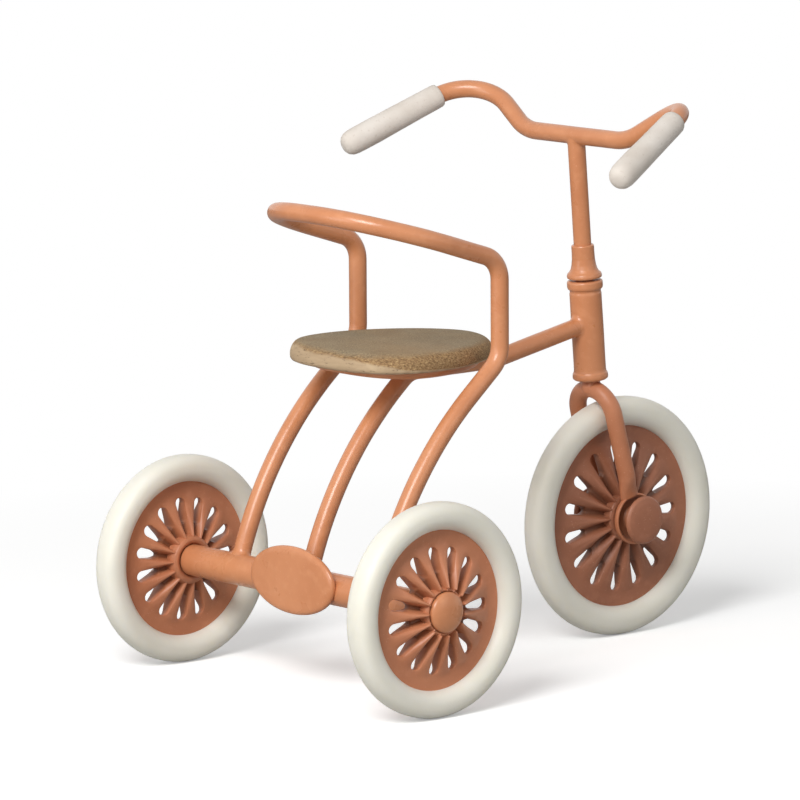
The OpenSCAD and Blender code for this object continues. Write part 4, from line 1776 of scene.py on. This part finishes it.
@dataclass
class Studio:
    """A pale floor, soft lamps and the camera.

    The camera stands behind the object and to its right, with its angles in degrees. The view
    is view_size units wide and high. In those units, focal is the focal length, foot is where
    the ground under the rear axle shows, from the upper left corner, and foot_scale is the
    size of a millimetre there.
    """

    focal: float = 6300.66
    foot_scale: float = 4.8481
    foot: tuple[float, float] = (306.92, 688.20)
    view_size: float = 800.0
    sensor: float = 36.0
    elevation: float = 8.81
    heading: float = 41.06
    roll: float = 0.32
    farthest: float = 20.0
    floor_half: float = 3.0
    floor_z: float = -0.02 * MM
    sky: float = 0.3
    near_white: float = 0.10
    far_white: float = 0.24
    lamps: tuple[Lamp, ...] = (Lamp("key", (-0.72, -0.36, 0.64), 0.46, 7.7),
                               Lamp("back", (-0.95, 0.08, 0.2), 0.5, 1.7),
                               Lamp("fill", (0.1, -0.7, 0.3), 0.5, 0.36))

    def build(self, places: Places) -> None:
        """Sets up the floor, the light and the camera.

        Args:
            places: The shared points.
        """
        scene = bpy.context.scene
        scene.view_settings.view_transform = "Standard"
        self.floor()
        self.world(scene)
        for lamp in self.lamps:
            lamp.hang()
        self.camera(scene, places)

    def camera(self, scene: bpy.types.Scene, places: Places) -> None:
        """Stands the camera where the view asks for it.

        Args:
            scene: The scene.
            places: The shared points.
        """
        el, turn, roll = (math.radians(a) for a in (self.elevation, self.heading, self.roll))
        back = Vector((-math.cos(el) * math.sin(turn), -math.cos(el) * math.cos(turn),
                       math.sin(el)))
        right = Vector((math.cos(turn), -math.sin(turn), 0))
        up = back.cross(right)
        side = right * math.cos(roll) - up * math.sin(roll)
        above = right * math.sin(roll) + up * math.cos(roll)
        distance = self.focal / self.foot_scale
        middle = self.view_size / 2
        x = -(self.foot[0] - middle) / self.foot_scale
        y = (self.foot[1] - middle) / self.foot_scale
        spot = Vector((places.rear.x, 0, 0)) + (side * x + above * y + back * distance) * MM
        data = bpy.data.cameras.new("camera")
        data.sensor_width = self.sensor
        data.lens = self.focal / self.view_size * self.sensor
        data.clip_end = self.farthest
        camera = bpy.data.objects.new("camera", data)
        turned = Matrix((side, above, back)).transposed().to_4x4()
        camera.matrix_world = Matrix.Translation(spot) @ turned
        scene.collection.objects.link(camera)
        scene.camera = camera

    def floor(self) -> None:
        """Makes the pale floor, which fades to white away from the object."""
        mesh = bmesh.new()
        bmesh.ops.create_grid(mesh, x_segments=2, y_segments=2, size=self.floor_half)
        bmesh.ops.translate(mesh, vec=(0, 0, self.floor_z), verts=mesh.verts)
        data = bpy.data.meshes.new("floor")
        mesh.to_mesh(data)
        mesh.free()
        graph = Graph.material("floor")
        here = graph.place()
        white = (1, 1, 1, 1)
        colour = graph.blend(graph.noise(here, 3, 2), (250, 250, 249), (253, 253, 253))
        surface = graph.node("ShaderNodeBsdfDiffuse", inputs={"Color": colour})
        glow = graph.node("ShaderNodeEmission", inputs={"Color": white, "Strength": self.sky})
        near = graph.node("ShaderNodeAddShader", inputs={0: surface, 1: glow})
        far = graph.node("ShaderNodeEmission", inputs={"Color": white, "Strength": 1.0})
        dull = graph.node("ShaderNodeBsdfDiffuse", inputs={"Color": linear(190, 190, 189)})
        reach = graph.node("ShaderNodeVectorMath", {"operation": "LENGTH"}, {0: here}, out="Value")
        share = reach.clamp(self.near_white, self.far_white)
        seen = graph.node("ShaderNodeMixShader", inputs={0: share, 1: near, 2: far})
        eye = graph.node("ShaderNodeLightPath", out="Is Camera Ray")
        graph.output(graph.node("ShaderNodeMixShader", inputs={0: eye, 1: dull, 2: seen}))
        data.materials.append(graph.owner)
        floor = bpy.data.objects.new("floor", data)
        bpy.context.scene.collection.objects.link(floor)

    def world(self, scene: bpy.types.Scene) -> None:
        """Makes the sky: white where it is seen or mirrored, softer where it lights.

        Args:
            scene: The scene.
        """
        scene.world = bpy.data.worlds.new("studio")
        graph = Graph(scene.world)
        eye = graph.node("ShaderNodeLightPath", out="Is Camera Ray")
        clear = eye.beside("Is Transmission Ray").most(eye.beside("Is Glossy Ray"))
        strength = graph.node("ShaderNodeMapRange", inputs={
            "Value": eye.most(clear), "To Min": self.sky, "To Max": 1.0})
        graph.output(graph.node("ShaderNodeBackground", inputs={
            "Color": (1, 1, 1, 1), "Strength": strength}), "ShaderNodeOutputWorld")


# ---------------------------------------------------------------- assembly

STEEL_NODES = ("rear_axle", "front_axle", "seat_screws")


def dress_carried_nodes(finishes: Finishes) -> None:
    """Gives every CAD node a finish, since the hidden ones keep their CAD shape.

    Args:
        finishes: The materials.
    """
    for name, node in frame["nodes"].items():
        steel = name in STEEL_NODES
        node.data.materials.clear()
        node.data.materials.append(finishes.steel if steel else finishes.enamel[Shade.CAST])


def write_sizes() -> None:
    """Brings the scene's placements up to date."""
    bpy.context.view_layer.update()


def main() -> None:
    """Builds the tricycle and its studio."""
    logging.basicConfig(level=logging.INFO, format="%(message)s", stream=sys.stdout)
    places, finishes = Places(), Finishes()
    dress_carried_nodes(finishes)
    Wheels(places, finishes).build()
    RodFrame(places, finishes).build()
    Seat(places, finishes).build()
    Steering(places, finishes).build()
    Studio().build(places)
    write_sizes()


if __name__ == "__main__":
    main()
